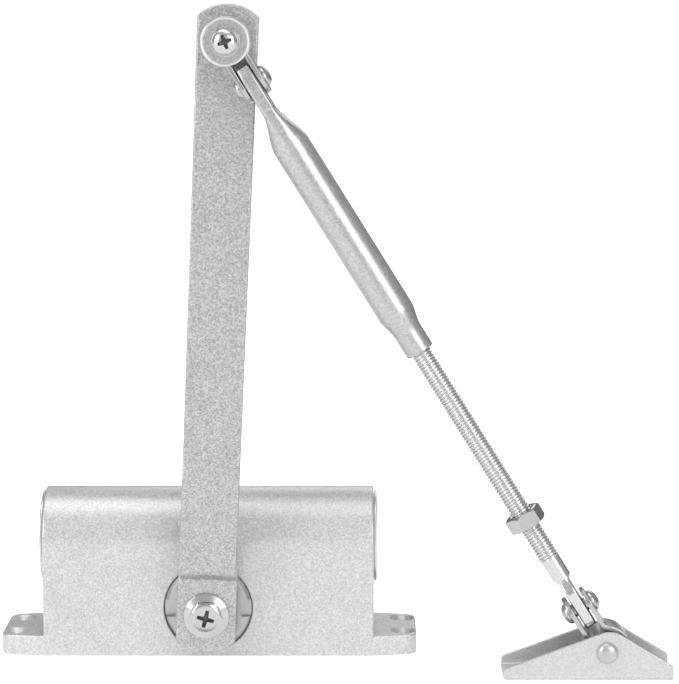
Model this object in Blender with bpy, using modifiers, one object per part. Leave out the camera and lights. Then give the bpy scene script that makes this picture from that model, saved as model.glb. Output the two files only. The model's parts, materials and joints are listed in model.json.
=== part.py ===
"""Surface-mounted rack-and-pinion door closer with a two-piece jointed arm.

Row frame, in metres: the origin is the centre of the body's mounting face, +X runs along the body
towards the foot bracket, +Y runs along the spindle away from the arm, and +Z points away from the door.
"""

import math

import bmesh
import bpy
from mathutils import Matrix, Vector

MM = 0.001
GAP = 0.3 * MM  # left between pieces that touch
PAST = 1.0 * MM  # how far a cutter runs past the face that it cuts

# Body casting
BODY_HALF_LENGTH = 65.3 * MM
BODY_RADIUS = 20.0 * MM  # half the body's thickness, and the radius of its round crown
BORE_AXIS_Z = 44.3 * MM
BORE_RADIUS = 16.0 * MM
PLUG_SEAT_RADIUS = 17.3 * MM
PLUG_SEAT_DEPTH = 9.2 * MM
PLUG_FLANGE_RADIUS = 18.15 * MM
PLUG_FLANGE_THICKNESS = 1.0 * MM
PLUG_FLANGE_CHAMFER = 0.6 * MM
PLUG_GROOVE_RADIUS = 15.3 * MM
PLUG_GROOVE_START = 2.2 * MM  # from the plug's inner face
PLUG_GROOVE_END = 4.6 * MM
PLUG_SEAL_RADIUS = 16.3 * MM
PLUG_SEAL_THICKNESS = 1.7 * MM
PLUG_SOCKET_RADIUS = 8.0 * MM  # to the hexagon's corners
PLUG_SOCKET_DEPTH = 5.0 * MM
LUG_END_X = 82.3 * MM
LUG_THICKNESS = 8.0 * MM
LUG_END_HALF_WIDTH = 17.0 * MM
LUG_CORNER_RADIUS = 5.0 * MM
LUG_INSET = 0.1 * MM  # keeps the lugs' sides just inside the body's faces
MOUNT_HOLE_X = 77.0 * MM
MOUNT_HOLE_Y = 10.5 * MM
MOUNT_HOLE_RADIUS = 2.75 * MM
COUNTERSINK_RADIUS = 5.0 * MM

# Spindle and the bearings it turns in, measured along Y from the middle of the body
SPINDLE_Z = 19.5 * MM
SHAFT_RADIUS = 8.0 * MM
SHAFT_SHOULDER_Y = 27.7 * MM
SQUARE_HALF = 5.2 * MM
SPINDLE_END_Y = 32.2 * MM
SPINDLE_SCREW_HOLE_RADIUS = 3.2 * MM
SPINDLE_SCREW_HOLE_Y = 17.0 * MM
NUT_RADIUS = 17.1 * MM
NUT_OUTER_Y = 21.0 * MM
NUT_SEAT_Y = 15.0 * MM
NUT_SLEEVE_RADIUS = 12.4 * MM
NUT_SLEEVE_Y = 10.6 * MM
NUT_POCKET_RADIUS = 11.4 * MM
NUT_POCKET_Y = 19.3 * MM
NUT_CHAMFER = 1.5 * MM
SPANNER_SLOT_WIDTH = 6.7 * MM
SPANNER_SLOT_DEPTH = 2.4 * MM
SPANNER_SLOT_INNER_RADIUS = 12.6 * MM
BUSH_RADIUS = 11.1 * MM
BUSH_INNER_Y = 8.7 * MM
SEAL_INNER_Y = 15.3 * MM

# Rack and pinion
MODULE = 1.75 * MM
TEETH = 12
PRESSURE_ANGLE = math.radians(25)
BACKLASH = 0.3 * MM
PINION_HALF_WIDTH = 8.0 * MM
PITCH_RADIUS = MODULE * TEETH / 2
RACK_FIRST_GAP = -7  # gaps counted in tooth pitches from the spindle, at rest
RACK_LAST_GAP = 1

# Piston, its check valve and the spring
PISTON_RADIUS = 15.7 * MM
PISTON_LEFT_X = -55.4 * MM
PISTON_RIGHT_X = 16.0 * MM
SPRING_POCKET_RADIUS = 9.8 * MM
SPRING_POCKET_X = -20.0 * MM
VALVE_CHAMBER_RADIUS = 3.2 * MM
VALVE_SEAT_X = -46.0 * MM
OIL_PASSAGE_RADIUS = 1.6 * MM
BALL_RADIUS = 2.4 * MM
BALL_LIFT_GAP = 0.1 * MM
RETAINER_RIGHT_X = -52.6 * MM
RETAINER_BORE_RADIUS = 1.0 * MM
SPRING_WIRE_RADIUS = 1.8 * MM
SPRING_MEAN_RADIUS = 7.6 * MM
SPRING_TURNS = 9

# Regulating screws in the right-hand end face
VALVE_HALF_SPACING = 9.0 * MM
VALVE_Z = 17.0 * MM
VALVE_HOLE_RADIUS = 3.8 * MM
VALVE_SCREW_RADIUS = 3.4 * MM
VALVE_HOLE_END_X = 40.0 * MM
VALVE_HEAD_X = BODY_HALF_LENGTH - 0.5 * MM
VALVE_GROOVE_RADIUS = 2.3 * MM
VALVE_GROOVE_X = VALVE_HEAD_X - 6.0 * MM
VALVE_GROOVE_WIDTH = 1.8 * MM
VALVE_SHANK_X = VALVE_HEAD_X - 14.0 * MM
VALVE_NEEDLE_X = VALVE_HEAD_X - 18.0 * MM
VALVE_NEEDLE_RADIUS = 1.5 * MM
VALVE_TIP_RADIUS = 0.6 * MM
VALVE_SLOT_WIDTH = 1.0 * MM
VALVE_SLOT_DEPTH = 1.4 * MM
VALVE_SEAL_RADIUS = 3.1 * MM
VALVE_SEAL_THICKNESS = 1.2 * MM
OIL_PORT_X = VALVE_HOLE_END_X + 4.0 * MM
OIL_PORT_TOP_Z = BORE_AXIS_Z - 8.0 * MM

# Main arm: a flat bar with a joggle, leaning a little towards the foot
ARM_LEAN = math.radians(2.58)
ARM_LENGTH = 222.3 * MM
ARM_THICKNESS = 4.5 * MM
ARM_HEAD_BACK_Y = -28.0 * MM
ARM_MAIN_BACK_Y = -33.5 * MM
ARM_HALF_WIDTH = 11.5 * MM
ARM_BEND_HALF_WIDTH = 11.0 * MM
ARM_HEAD_REACH = 15.0 * MM
ARM_END_REACH = 13.9 * MM
ARM_END_SAGITTA = 4.7 * MM
ARM_BEND_LOW = 15.0 * MM
ARM_BEND_HIGH = 18.0 * MM
ARM_BEND_SHIFT = 1.5 * MM  # the bend lies higher at the back of the bar than at its front
ARM_BLANK_HALF_WIDTH = 16.0 * MM
ARM_WAIST_Z = ARM_BEND_HIGH + 4.0 * MM  # the bar is a little narrower just above the bend

# Washer and hexagon screw that hold the arm
WASHER_BORE_RADIUS = 3.3 * MM
WASHER_CROWN_RADIUS = 6.4 * MM
WASHER_RADIUS = 8.9 * MM
WASHER_THICKNESS = 1.8 * MM
WASHER_EDGE_THICKNESS = 1.2 * MM
ARM_SCREW_ACROSS_FLATS = 11.5 * MM
ARM_SCREW_HEAD_HEIGHT = 3.8 * MM
ARM_SCREW_SHANK_RADIUS = 2.9 * MM
ARM_SCREW_END_Y = 18.0 * MM
ARM_SCREW_DISH_RADIUS = 4.6 * MM
ARM_SCREW_DISH_DEPTH = 0.8 * MM
ARM_SCREW_CROSS = (3.1 * MM, 0.65 * MM, 2.6 * MM)  # reach, half width and depth of its recess

# Forearm: the plane it works in, its slope and where its pieces start, measured from the elbow
FOREARM_Y = -46.5 * MM
FOREARM_SLOPE = math.radians(31.95)
FOREARM_LENGTH = 271.5 * MM
RIVET_REACH = 18.0 * MM  # from a pivot to the cross rivet of its yoke
TANG_START = 11.9 * MM
TANG_HALF_WIDTH = 7.75 * MM
TANG_HALF_THICKNESS = 2.7 * MM
TUBE_RADIUS = 7.15 * MM
TUBE_NECK_RADIUS = 5.55 * MM
TUBE_NECK_START = 128.0 * MM
TUBE_END = 137.0 * MM
TUBE_HOLLOW_START = 49.0 * MM
TUBE_HOLLOW_END = 122.0 * MM
TUBE_HOLLOW_RADIUS = 5.3 * MM
TUBE_TAPER_START = 120.0 * MM
TUBE_FLAT_END = 27.8 * MM
TUBE_ROUND_START = 45.0 * MM
TANG_SQUARENESS = 7.0  # power of the superellipse that the flattened end is drawn with
ROD_START = 106.0 * MM
ROD_RADIUS = 3.85 * MM
ROD_END_CHAMFER = 0.7 * MM
THREAD_END = 231.6 * MM
SHANK_RADIUS = 3.5 * MM
BLADE_START = 240.4 * MM
BLADE_END = 261.3 * MM
BLADE_HALF_WIDTH = 5.5 * MM
BLADE_HALF_THICKNESS = 2.3 * MM
LOCK_NUT_MIDDLE = 213.0 * MM
LOCK_NUT_ACROSS_FLATS = 13.0 * MM
LOCK_NUT_HEIGHT = 6.5 * MM

# Strap yokes, pivot bushes and rivets
STRAP_RADIUS = 9.4 * MM
STRAP_THICKNESS = 1.8 * MM
STRAP_HALF_DEPTH = 6.5 * MM
EAR_INNER = 3.0 * MM
PIVOT_BUSH_RADIUS = 7.3 * MM
PIVOT_DISC_RADIUS = 9.0 * MM
PIVOT_DISC_THICKNESS = 1.4 * MM
PIVOT_DISC_CHAMFER = 0.5 * MM
PIVOT_PIN_RADIUS = 3.0 * MM
ELBOW_SCREW_HEAD_RADIUS = 5.7 * MM
ELBOW_SCREW_HEAD_HEIGHT = 3.5 * MM
ELBOW_SCREW_RIM = 1.0 * MM
ELBOW_SCREW_CROSS = (2.5 * MM, 0.6 * MM, 2.3 * MM)
CROSS_RIVET_RADIUS = 2.5 * MM
CROSS_RIVET_HEAD = (4.15 * MM, 2.4 * MM)  # radius and height
FOOT_RIVET_HEAD = (4.1 * MM, 2.3 * MM)
RIVET_CUTTER_REACH = 8.0 * MM

# Foot bracket
BRACKET_LEFT_X = 114.5 * MM
BRACKET_RIGHT_X = 179.1 * MM
BRACKET_FRONT_Y = -57.0 * MM
BRACKET_BACK_Y = -36.0 * MM
BRACKET_SHEET = 1.8 * MM
BRACKET_LEFT_HEIGHT = 4.5 * MM
BRACKET_RIGHT_HEIGHT = 5.7 * MM
BRACKET_PEAK = Vector((154.4 * MM, 8.9 * MM))
BRACKET_PEAK_RADIUS = 10.0 * MM
BRACKET_HOLES_X = (122.5 * MM, 171.5 * MM)
BRACKET_HOLE_RADIUS = 2.75 * MM

ELBOW = Vector((ARM_LENGTH * math.sin(ARM_LEAN), FOREARM_Y, SPINDLE_Z + ARM_LENGTH * math.cos(ARM_LEAN)))
ALONG = Vector((math.sin(FOREARM_SLOPE), 0.0, -math.cos(FOREARM_SLOPE)))
ACROSS = Vector((math.cos(FOREARM_SLOPE), 0.0, math.sin(FOREARM_SLOPE)))
FOOT = ELBOW + FOREARM_LENGTH * ALONG

# Turns a shape built along Z so that it lies along another axis
ALONG_X = Matrix(((0, 0, 1, 0), (1, 0, 0, 0), (0, 1, 0, 0), (0, 0, 0, 1)))
ALONG_Y = Matrix(((1, 0, 0, 0), (0, 0, -1, 0), (0, 1, 0, 0), (0, 0, 0, 1)))
ALONG_Z = Matrix.Identity(4)

for old in list(bpy.data.objects):
    bpy.data.objects.remove(old)

parts = bpy.data.collections.new("door_closer")
cutters = bpy.data.collections.new("cutters")
frames = bpy.data.collections.new("joint_axes")
for collection in (parts, cutters, frames):
    bpy.context.scene.collection.children.link(collection)
cutters.hide_render = True


def material(name, colour, roughness, metallic):
    made = bpy.data.materials.new(name)
    made.use_nodes = True
    shader = made.node_tree.nodes["Principled BSDF"]
    shader.inputs["Base Color"].default_value = (*colour, 1.0)
    shader.inputs["Roughness"].default_value = roughness
    shader.inputs["Metallic"].default_value = metallic
    return made


SILVER_PAINT = material("silver_paint", (0.62, 0.63, 0.64), 0.45, 0.55)
ARM_PAINT = material("arm_silver_paint", (0.50, 0.51, 0.52), 0.50, 0.55)
ZINC = material("bright_zinc", (0.78, 0.79, 0.80), 0.25, 1.0)
STEEL = material("machined_steel", (0.55, 0.55, 0.56), 0.35, 1.0)
SPRING_STEEL = material("spring_steel", (0.20, 0.20, 0.22), 0.40, 1.0)
BRONZE = material("sintered_bronze", (0.55, 0.38, 0.20), 0.45, 1.0)
RUBBER = material("black_rubber", (0.03, 0.03, 0.03), 0.70, 0.0)


def frame(name, origin, x_axis=(1, 0, 0), z_axis=(0, 0, 1)):
    """An empty at a joint: its own X and Z axes are given, and Y follows."""
    x, z = Vector(x_axis), Vector(z_axis)
    turned_axes = Matrix((x, z.cross(x), z)).transposed().to_4x4()
    empty = bpy.data.objects.new(name, None)
    empty.empty_display_size = 0.01
    frames.objects.link(empty)
    empty.matrix_world = Matrix.Translation(origin) @ turned_axes
    return empty


def add(name, mesh, home, paint=None):
    """An object in a joint's frame: a part when it has a material, otherwise a cutter."""
    made = bpy.data.objects.new(name, mesh)
    (parts if paint else cutters).objects.link(made)
    made.parent = home
    if paint:
        mesh.materials.append(paint)
    else:
        made.hide_render = True
        made.display_type = "WIRE"
    return made


def finished_mesh(name, bm, turn, place):
    mesh = bpy.data.meshes.new(name)
    bm.transform(Matrix.Translation(place) @ turn)
    bm.normal_update()
    bmesh.ops.recalc_face_normals(bm, faces=bm.faces)
    bm.to_mesh(mesh)
    bm.free()
    mesh.shade_smooth()
    mesh.set_sharp_from_angle(angle=math.radians(35))
    return mesh


def cylinder(name, radius, low, high, turn, place=(0, 0, 0), segments=24):
    """A cylinder from low to high along the turned axis, through the point place."""
    bm = bmesh.new()
    bmesh.ops.create_cone(
        bm,
        cap_ends=True,
        segments=segments,
        radius1=radius,
        radius2=radius,
        depth=high - low,
        matrix=Matrix.Translation((0, 0, (low + high) / 2)),
    )
    return finished_mesh(name, bm, turn, place)


def block(name, low, high):
    low, high = Vector(low), Vector(high)
    bm = bmesh.new()
    bmesh.ops.create_cube(bm, size=1.0, matrix=Matrix.Diagonal((*(high - low), 1.0)))
    return finished_mesh(name, bm, ALONG_Z, (low + high) / 2)


def plate(name, outline, low, high, turn):
    """A flat outline given a thickness from low to high along the turned axis."""
    curve = bpy.data.curves.new(name, "CURVE")
    curve.dimensions = "2D"
    curve.fill_mode = "BOTH"
    curve.extrude = (high - low) / 2
    spline = curve.splines.new("POLY")
    spline.points.add(len(outline) - 1)
    for point, (a, b) in zip(spline.points, outline):
        point.co = (a, b, 0.0, 1.0)
    spline.use_cyclic_u = True
    flat = bpy.data.objects.new(name + "_outline", curve)
    cutters.objects.link(flat)
    bpy.context.view_layer.update()
    solid = bpy.data.meshes.new_from_object(flat.evaluated_get(bpy.context.evaluated_depsgraph_get()))
    bpy.data.objects.remove(flat)
    bm = bmesh.new()
    bm.from_mesh(solid)
    bmesh.ops.remove_doubles(bm, verts=bm.verts, dist=1e-6)
    bm.transform(Matrix.Translation((0, 0, (low + high) / 2)))
    return finished_mesh(name, bm, turn, (0, 0, 0))


def turned(name, profile, turn, place=(0, 0, 0), steps=24, ring=False):
    """A profile of (radius, height) points, top to bottom on its outer side, turned about the axis."""
    mesh = bpy.data.meshes.new(name + "_profile")
    edges = [(i, i + 1) for i in range(len(profile) - 1)]
    if ring:
        edges.append((len(profile) - 1, 0))
    mesh.from_pydata([(radius, 0.0, height) for radius, height in profile], edges, [])
    holder = bpy.data.objects.new(name + "_profile", mesh)
    cutters.objects.link(holder)
    screw = holder.modifiers.new("Turn", "SCREW")
    screw.steps = steps
    screw.render_steps = steps
    screw.use_merge_vertices = True
    screw.merge_threshold = 1e-6
    bpy.context.view_layer.update()
    solid = bpy.data.meshes.new_from_object(holder.evaluated_get(bpy.context.evaluated_depsgraph_get()))
    bpy.data.objects.remove(holder)
    bm = bmesh.new()
    bm.from_mesh(solid)
    return finished_mesh(name, bm, turn, place)


def loft(name, rings, points=24):
    """Closed sections along Z joined into one skin. Each ring is (z, half x, half y, squareness)."""
    bm = bmesh.new()
    sections = []
    for z, half_x, half_y, power in rings:
        section = []
        for i in range(points):
            angle = 2 * math.pi * (i + 0.5) / points
            c, s = math.cos(angle), math.sin(angle)
            x = half_x * math.copysign(abs(c) ** (2 / power), c)
            y = half_y * math.copysign(abs(s) ** (2 / power), s)
            section.append(bm.verts.new((x, y, z)))
        sections.append(section)
    for lower, upper in zip(sections, sections[1:]):
        for i in range(points):
            j = (i + 1) % points
            bm.faces.new((lower[i], lower[j], upper[j], upper[i]))
    bm.faces.new(reversed(sections[0]))
    bm.faces.new(sections[-1])
    return finished_mesh(name, bm, ALONG_Z, (0, 0, 0))


def combine(target, operation, mesh, home):
    """Cuts a mesh from the part, joins it on, or keeps only what both hold."""
    tool = add(f"{target.name}_{operation.lower()}_{len(target.modifiers)}", mesh, home)
    step = target.modifiers.new(tool.name, "BOOLEAN")
    step.operation = operation
    step.solver = "EXACT"
    step.object = tool


def arc(centre, radius, start, end, steps):
    """Points on an arc, with angles in degrees from +X towards the second axis."""
    for i in range(steps + 1):
        angle = math.radians(start + (end - start) * i / steps)
        yield (centre[0] + radius * math.cos(angle), centre[1] + radius * math.sin(angle))


def crown(half_width, base, sagitta, steps):
    """An arc that rises by sagitta from base, from the right corner over to the left one."""
    radius = (half_width**2 + sagitta**2) / (2 * sagitta)
    half_angle = math.degrees(math.asin(half_width / radius))
    return list(arc((0.0, base + sagitta - radius), radius, 90 - half_angle, 90 + half_angle, steps))


def torus(name, major, minor, turn, place, steps=24, around=6):
    profile = [
        (major + minor * math.cos(-2 * math.pi * i / around), minor * math.sin(-2 * math.pi * i / around))
        for i in range(around)
    ]
    return turned(name, profile, turn, place, steps, ring=True)


def dome(radius, base, top, steps=4):
    """Profile points of a rivet's head from its crown at top down to its rim at base."""
    for i in range(steps + 1):
        angle = math.radians(90 * (1 - i / steps))
        yield (radius * math.cos(angle), base + (top - base) * math.sin(angle))


body_frame = frame("body_frame", (0, 0, 0))
bore_frame = frame("piston_axis", (0, 0, BORE_AXIS_Z))
spindle_frame = frame("spindle_axis", (0, 0, SPINDLE_Z))
arm_axis = (math.sin(ARM_LEAN), 0, math.cos(ARM_LEAN))
arm_frame = frame("arm_frame", (0, 0, SPINDLE_Z), (arm_axis[2], 0, -arm_axis[0]), arm_axis)
elbow_frame = frame("elbow_axis", ELBOW, ACROSS, ALONG)
elbow_tilt_frame = frame("elbow_tilt_axis", ELBOW + RIVET_REACH * ALONG, ACROSS, ALONG)
foot_yoke_frame = frame("foot_yoke_axis", FOOT, ACROSS, -ALONG)
foot_tilt_frame = frame("foot_tilt_axis", FOOT - RIVET_REACH * ALONG, ACROSS, ALONG)
foot_frame = frame("foot_axis", (FOOT.x, FOREARM_Y, FOOT.z))


def make_body_casting():
    section = [(-BODY_RADIUS, 0.0), (BODY_RADIUS, 0.0)]
    section += arc((0.0, BORE_AXIS_Z), BODY_RADIUS, 0, 180, 24)
    mesh = plate("body_casting", section, -BODY_HALF_LENGTH, BODY_HALF_LENGTH, ALONG_X)
    body = add("body_casting", mesh, body_frame, SILVER_PAINT)

    corner_x = LUG_END_X - LUG_CORNER_RADIUS
    corner_y = LUG_END_HALF_WIDTH - LUG_CORNER_RADIUS
    right = [(0.0, -BODY_RADIUS + LUG_INSET), (BODY_HALF_LENGTH, -BODY_RADIUS + LUG_INSET)]
    right += arc((corner_x, -corner_y), LUG_CORNER_RADIUS, -80, 0, 5)
    right += arc((corner_x, corner_y), LUG_CORNER_RADIUS, 0, 80, 5)
    right += [(BODY_HALF_LENGTH, BODY_RADIUS - LUG_INSET), (0.0, BODY_RADIUS - LUG_INSET)]
    left = [(-x, -y) for x, y in right[1:-1]]
    lugs = plate("lugs", right[1:-1] + left, 0.0, LUG_THICKNESS, ALONG_Z)
    combine(body, "UNION", lugs, body_frame)

    length = BODY_HALF_LENGTH + PAST
    bore = cylinder("bore", BORE_RADIUS, -length, length, ALONG_X, segments=48)
    combine(body, "DIFFERENCE", bore, bore_frame)
    for side in (-1, 1):
        ends = sorted((side * length, side * (BODY_HALF_LENGTH - PLUG_SEAT_DEPTH)))
        combine(body, "DIFFERENCE", cylinder("plug_seat", PLUG_SEAT_RADIUS, *ends, ALONG_X), bore_frame)
        ends = sorted((side * NUT_SEAT_Y, side * (BODY_RADIUS + PAST)))
        combine(body, "DIFFERENCE", cylinder("nut_seat", NUT_RADIUS + GAP, *ends, ALONG_Y), spindle_frame)
    chamber = NUT_SLEEVE_RADIUS + GAP
    reach = NUT_SEAT_Y + PAST
    combine(body, "DIFFERENCE", cylinder("chamber", chamber, -reach, reach, ALONG_Y), spindle_frame)

    for side in (-1, 1):
        for across in (-1, 1):
            place = (side * MOUNT_HOLE_X, across * MOUNT_HOLE_Y, 0)
            sink_depth = COUNTERSINK_RADIUS - MOUNT_HOLE_RADIUS
            hole = turned(
                "mount_hole",
                [
                    (0.0, LUG_THICKNESS + PAST),
                    (COUNTERSINK_RADIUS + PAST, LUG_THICKNESS + PAST),
                    (MOUNT_HOLE_RADIUS, LUG_THICKNESS - sink_depth),
                    (MOUNT_HOLE_RADIUS, -PAST),
                    (0.0, -PAST),
                ],
                ALONG_Z,
                place,
                steps=24,
            )
            combine(body, "DIFFERENCE", hole, body_frame)
    for side in (-1, 1):
        place = (0, side * VALVE_HALF_SPACING, VALVE_Z)
        hole = cylinder("valve_hole", VALVE_HOLE_RADIUS, VALVE_HOLE_END_X, length, ALONG_X, place, 20)
        combine(body, "DIFFERENCE", hole, body_frame)
        place = (OIL_PORT_X, side * VALVE_HALF_SPACING, 0)
        port = cylinder("oil_port", OIL_PASSAGE_RADIUS, VALVE_Z, OIL_PORT_TOP_Z, ALONG_Z, place, 12)
        combine(body, "DIFFERENCE", port, body_frame)


def make_end_plugs():
    """Screwed plugs close both ends of the bore, each with an O-ring and a hexagon socket."""
    inner = BODY_HALF_LENGTH - PLUG_SEAT_DEPTH + GAP
    seat = BODY_HALF_LENGTH + GAP
    face = seat + PLUG_FLANGE_THICKNESS
    shank = PLUG_SEAT_RADIUS - GAP
    profile = [
        (0.0, face),
        (PLUG_FLANGE_RADIUS - PLUG_FLANGE_CHAMFER, face),
        (PLUG_FLANGE_RADIUS, face - PLUG_FLANGE_CHAMFER),
        (PLUG_FLANGE_RADIUS, seat),
        (shank, seat),
        (shank, inner + PLUG_GROOVE_END),
        (PLUG_GROOVE_RADIUS, inner + PLUG_GROOVE_END),
        (PLUG_GROOVE_RADIUS, inner + PLUG_GROOVE_START),
        (shank, inner + PLUG_GROOVE_START),
        (shank, inner),
        (0.0, inner),
    ]
    for name, side in (("right", 1), ("left", -1)):
        turn = ALONG_X if side > 0 else Matrix.Rotation(math.pi, 4, "Z") @ ALONG_X
        plug = add(f"end_plug_{name}", turned("end_plug", profile, turn), bore_frame, ZINC)
        floor = seat - PLUG_SOCKET_DEPTH
        socket = cylinder("socket", PLUG_SOCKET_RADIUS, floor, face + PAST, turn, segments=6)
        combine(plug, "DIFFERENCE", socket, bore_frame)
        place = (side * (inner + (PLUG_GROOVE_START + PLUG_GROOVE_END) / 2), 0, 0)
        seal = torus("end_plug_seal", PLUG_SEAL_RADIUS, PLUG_SEAL_THICKNESS / 2, turn, place)
        add(f"end_plug_seal_{name}", seal, bore_frame, RUBBER)


def make_spindle_bearings():
    """A slotted nut on each side carries a bush, with a shaft seal outside the bush."""
    nut_profile = [
        (SHAFT_RADIUS + GAP, NUT_OUTER_Y),
        (NUT_RADIUS - NUT_CHAMFER, NUT_OUTER_Y),
        (NUT_RADIUS, NUT_OUTER_Y - NUT_CHAMFER),
        (NUT_RADIUS, NUT_SEAT_Y + GAP),
        (NUT_SLEEVE_RADIUS, NUT_SEAT_Y + GAP),
        (NUT_SLEEVE_RADIUS, NUT_SLEEVE_Y),
        (NUT_POCKET_RADIUS, NUT_SLEEVE_Y),
        (NUT_POCKET_RADIUS, NUT_POCKET_Y),
        (SHAFT_RADIUS + GAP, NUT_POCKET_Y),
    ]
    for name, side in (("front", -1), ("rear", 1)):
        turn = ALONG_Y if side < 0 else Matrix.Rotation(math.pi, 4, "Z") @ ALONG_Y
        ring = turned("bearing_nut", nut_profile, turn, steps=32, ring=True)
        nut = add(f"bearing_nut_{name}", ring, spindle_frame, STEEL)
        for slot_side in (-1, 1):
            ends = (slot_side * SPANNER_SLOT_INNER_RADIUS, slot_side * (NUT_RADIUS + PAST))
            low, high = sorted(ends)
            slot_floor = NUT_OUTER_Y - SPANNER_SLOT_DEPTH
            outer, inner = sorted((side * (NUT_OUTER_Y + PAST), side * slot_floor))
            half = SPANNER_SLOT_WIDTH / 2
            slot = block("spanner_slot", (low, outer, -half), (high, inner, half))
            combine(nut, "DIFFERENCE", slot, spindle_frame)
        bush_profile = [
            (SHAFT_RADIUS + GAP, NUT_SEAT_Y),
            (BUSH_RADIUS, NUT_SEAT_Y),
            (BUSH_RADIUS, BUSH_INNER_Y),
            (SHAFT_RADIUS + GAP, BUSH_INNER_Y),
        ]
        bush = turned("spindle_bush", bush_profile, turn, ring=True)
        add(f"spindle_bush_{name}", bush, spindle_frame, BRONZE)
        seal_profile = [
            (SHAFT_RADIUS + GAP, NUT_POCKET_Y - GAP),
            (BUSH_RADIUS, NUT_POCKET_Y - GAP),
            (BUSH_RADIUS, SEAL_INNER_Y),
            (SHAFT_RADIUS + GAP, SEAL_INNER_Y),
        ]
        seal = turned("spindle_seal", seal_profile, turn, ring=True)
        add(f"spindle_seal_{name}", seal, spindle_frame, RUBBER)


def pinion_outline():
    """Involute teeth, thinned by half the backlash, with one tooth pointing along +Z."""
    base = PITCH_RADIUS * math.cos(PRESSURE_ANGLE)
    tip = PITCH_RADIUS + MODULE
    root = PITCH_RADIUS - 1.25 * MODULE
    involute = math.tan(PRESSURE_ANGLE) - PRESSURE_ANGLE
    half_tooth = math.pi / (2 * TEETH) + involute - BACKLASH / (4 * PITCH_RADIUS)
    flank = []
    for i in range(6):
        radius = base + (tip - base) * i / 5
        roll = math.acos(base / radius)
        flank.append((radius, half_tooth - (math.tan(roll) - roll)))
    outline = []
    for tooth in range(TEETH):
        middle = math.pi / 2 - 2 * math.pi * tooth / TEETH
        side = [(root, half_tooth)] + flank
        for radius, angle in side:
            outline.append((radius * math.cos(middle + angle), radius * math.sin(middle + angle)))
        for radius, angle in reversed(side):
            outline.append((radius * math.cos(middle - angle), radius * math.sin(middle - angle)))
    return outline


def make_pinion_spindle():
    """One steel shaft with the pinion in its middle and a square at each end for the arm."""
    y = SHAFT_SHOULDER_Y
    shaft = [(0.0, y), (SHAFT_RADIUS, y), (SHAFT_RADIUS, -y), (0.0, -y)]
    spindle = add("pinion_spindle", turned("spindle", shaft, ALONG_Y), spindle_frame, STEEL)
    gear = plate("pinion", pinion_outline(), -PINION_HALF_WIDTH, PINION_HALF_WIDTH, ALONG_Y)
    combine(spindle, "UNION", gear, spindle_frame)
    square = block(
        "square", (-SQUARE_HALF, -SPINDLE_END_Y, -SQUARE_HALF), (SQUARE_HALF, SPINDLE_END_Y, SQUARE_HALF)
    )
    combine(spindle, "UNION", square, arm_frame)
    for side in (-1, 1):
        ends = sorted((side * SPINDLE_SCREW_HOLE_Y, side * (SPINDLE_END_Y + PAST)))
        hole = cylinder("screw_hole", SPINDLE_SCREW_HOLE_RADIUS, *ends, ALONG_Y, segments=20)
        combine(spindle, "DIFFERENCE", hole, arm_frame)


def rack_gaps_outline():
    """The gaps between the straight rack teeth as one comb, seen along the spindle."""
    pitch = math.pi * MODULE
    pitch_line = SPINDLE_Z + PITCH_RADIUS - BORE_AXIS_Z
    tip_line = pitch_line - MODULE
    root_line = pitch_line + 1.25 * MODULE
    half_at_pitch = (pitch + BACKLASH) / 4 + BACKLASH / 4
    half_at_tip = half_at_pitch + MODULE * math.tan(PRESSURE_ANGLE)
    half_at_root = half_at_pitch - 1.25 * MODULE * math.tan(PRESSURE_ANGLE)
    outline = []
    for gap in range(RACK_FIRST_GAP, RACK_LAST_GAP + 1):
        x = gap * pitch
        outline.append((x - half_at_tip, tip_line))
        outline.append((x - half_at_root, root_line))
        outline.append((x + half_at_root, root_line))
        outline.append((x + half_at_tip, tip_line))
    clear = -PISTON_RADIUS - PAST
    outline.append((outline[-1][0], clear))
    outline.append((outline[0][0], clear))
    return outline


def make_piston():
    """A hollow piston: rack teeth below, a pocket for the spring, and a check valve in its head."""
    profile = [
        (0.0, PISTON_RIGHT_X),
        (PISTON_RADIUS, PISTON_RIGHT_X),
        (PISTON_RADIUS, PISTON_LEFT_X),
        (0.0, PISTON_LEFT_X),
    ]
    piston = add("piston", turned("piston", profile, ALONG_X, steps=48), bore_frame, STEEL)
    rack = plate("rack_gaps", rack_gaps_outline(), -PISTON_RADIUS, PISTON_RADIUS, ALONG_Y)
    combine(piston, "DIFFERENCE", rack, bore_frame)
    right = PISTON_RIGHT_X + PAST
    left = PISTON_LEFT_X - PAST
    pocket = cylinder("spring_pocket", SPRING_POCKET_RADIUS, SPRING_POCKET_X, right, ALONG_X, segments=28)
    combine(piston, "DIFFERENCE", pocket, bore_frame)
    passage = cylinder("passage", OIL_PASSAGE_RADIUS, left, SPRING_POCKET_X + PAST, ALONG_X, segments=16)
    combine(piston, "DIFFERENCE", passage, bore_frame)
    chamber = cylinder("valve_chamber", VALVE_CHAMBER_RADIUS, left, VALVE_SEAT_X, ALONG_X, segments=20)
    combine(piston, "DIFFERENCE", chamber, bore_frame)

    radius = VALVE_CHAMBER_RADIUS - GAP
    retainer_profile = [
        (RETAINER_BORE_RADIUS, RETAINER_RIGHT_X),
        (radius, RETAINER_RIGHT_X),
        (radius, PISTON_LEFT_X),
        (RETAINER_BORE_RADIUS, PISTON_LEFT_X),
    ]
    retainer = turned("check_valve_retainer", retainer_profile, ALONG_X, steps=20, ring=True)
    add("check_valve_retainer", retainer, bore_frame, BRONZE)
    bm = bmesh.new()
    bmesh.ops.create_uvsphere(bm, u_segments=16, v_segments=10, radius=BALL_RADIUS)
    resting_x = VALVE_SEAT_X - BALL_RADIUS - BALL_LIFT_GAP
    add("check_valve_ball", finished_mesh("ball", bm, ALONG_X, (resting_x, 0, 0)), bore_frame, STEEL)


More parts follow.
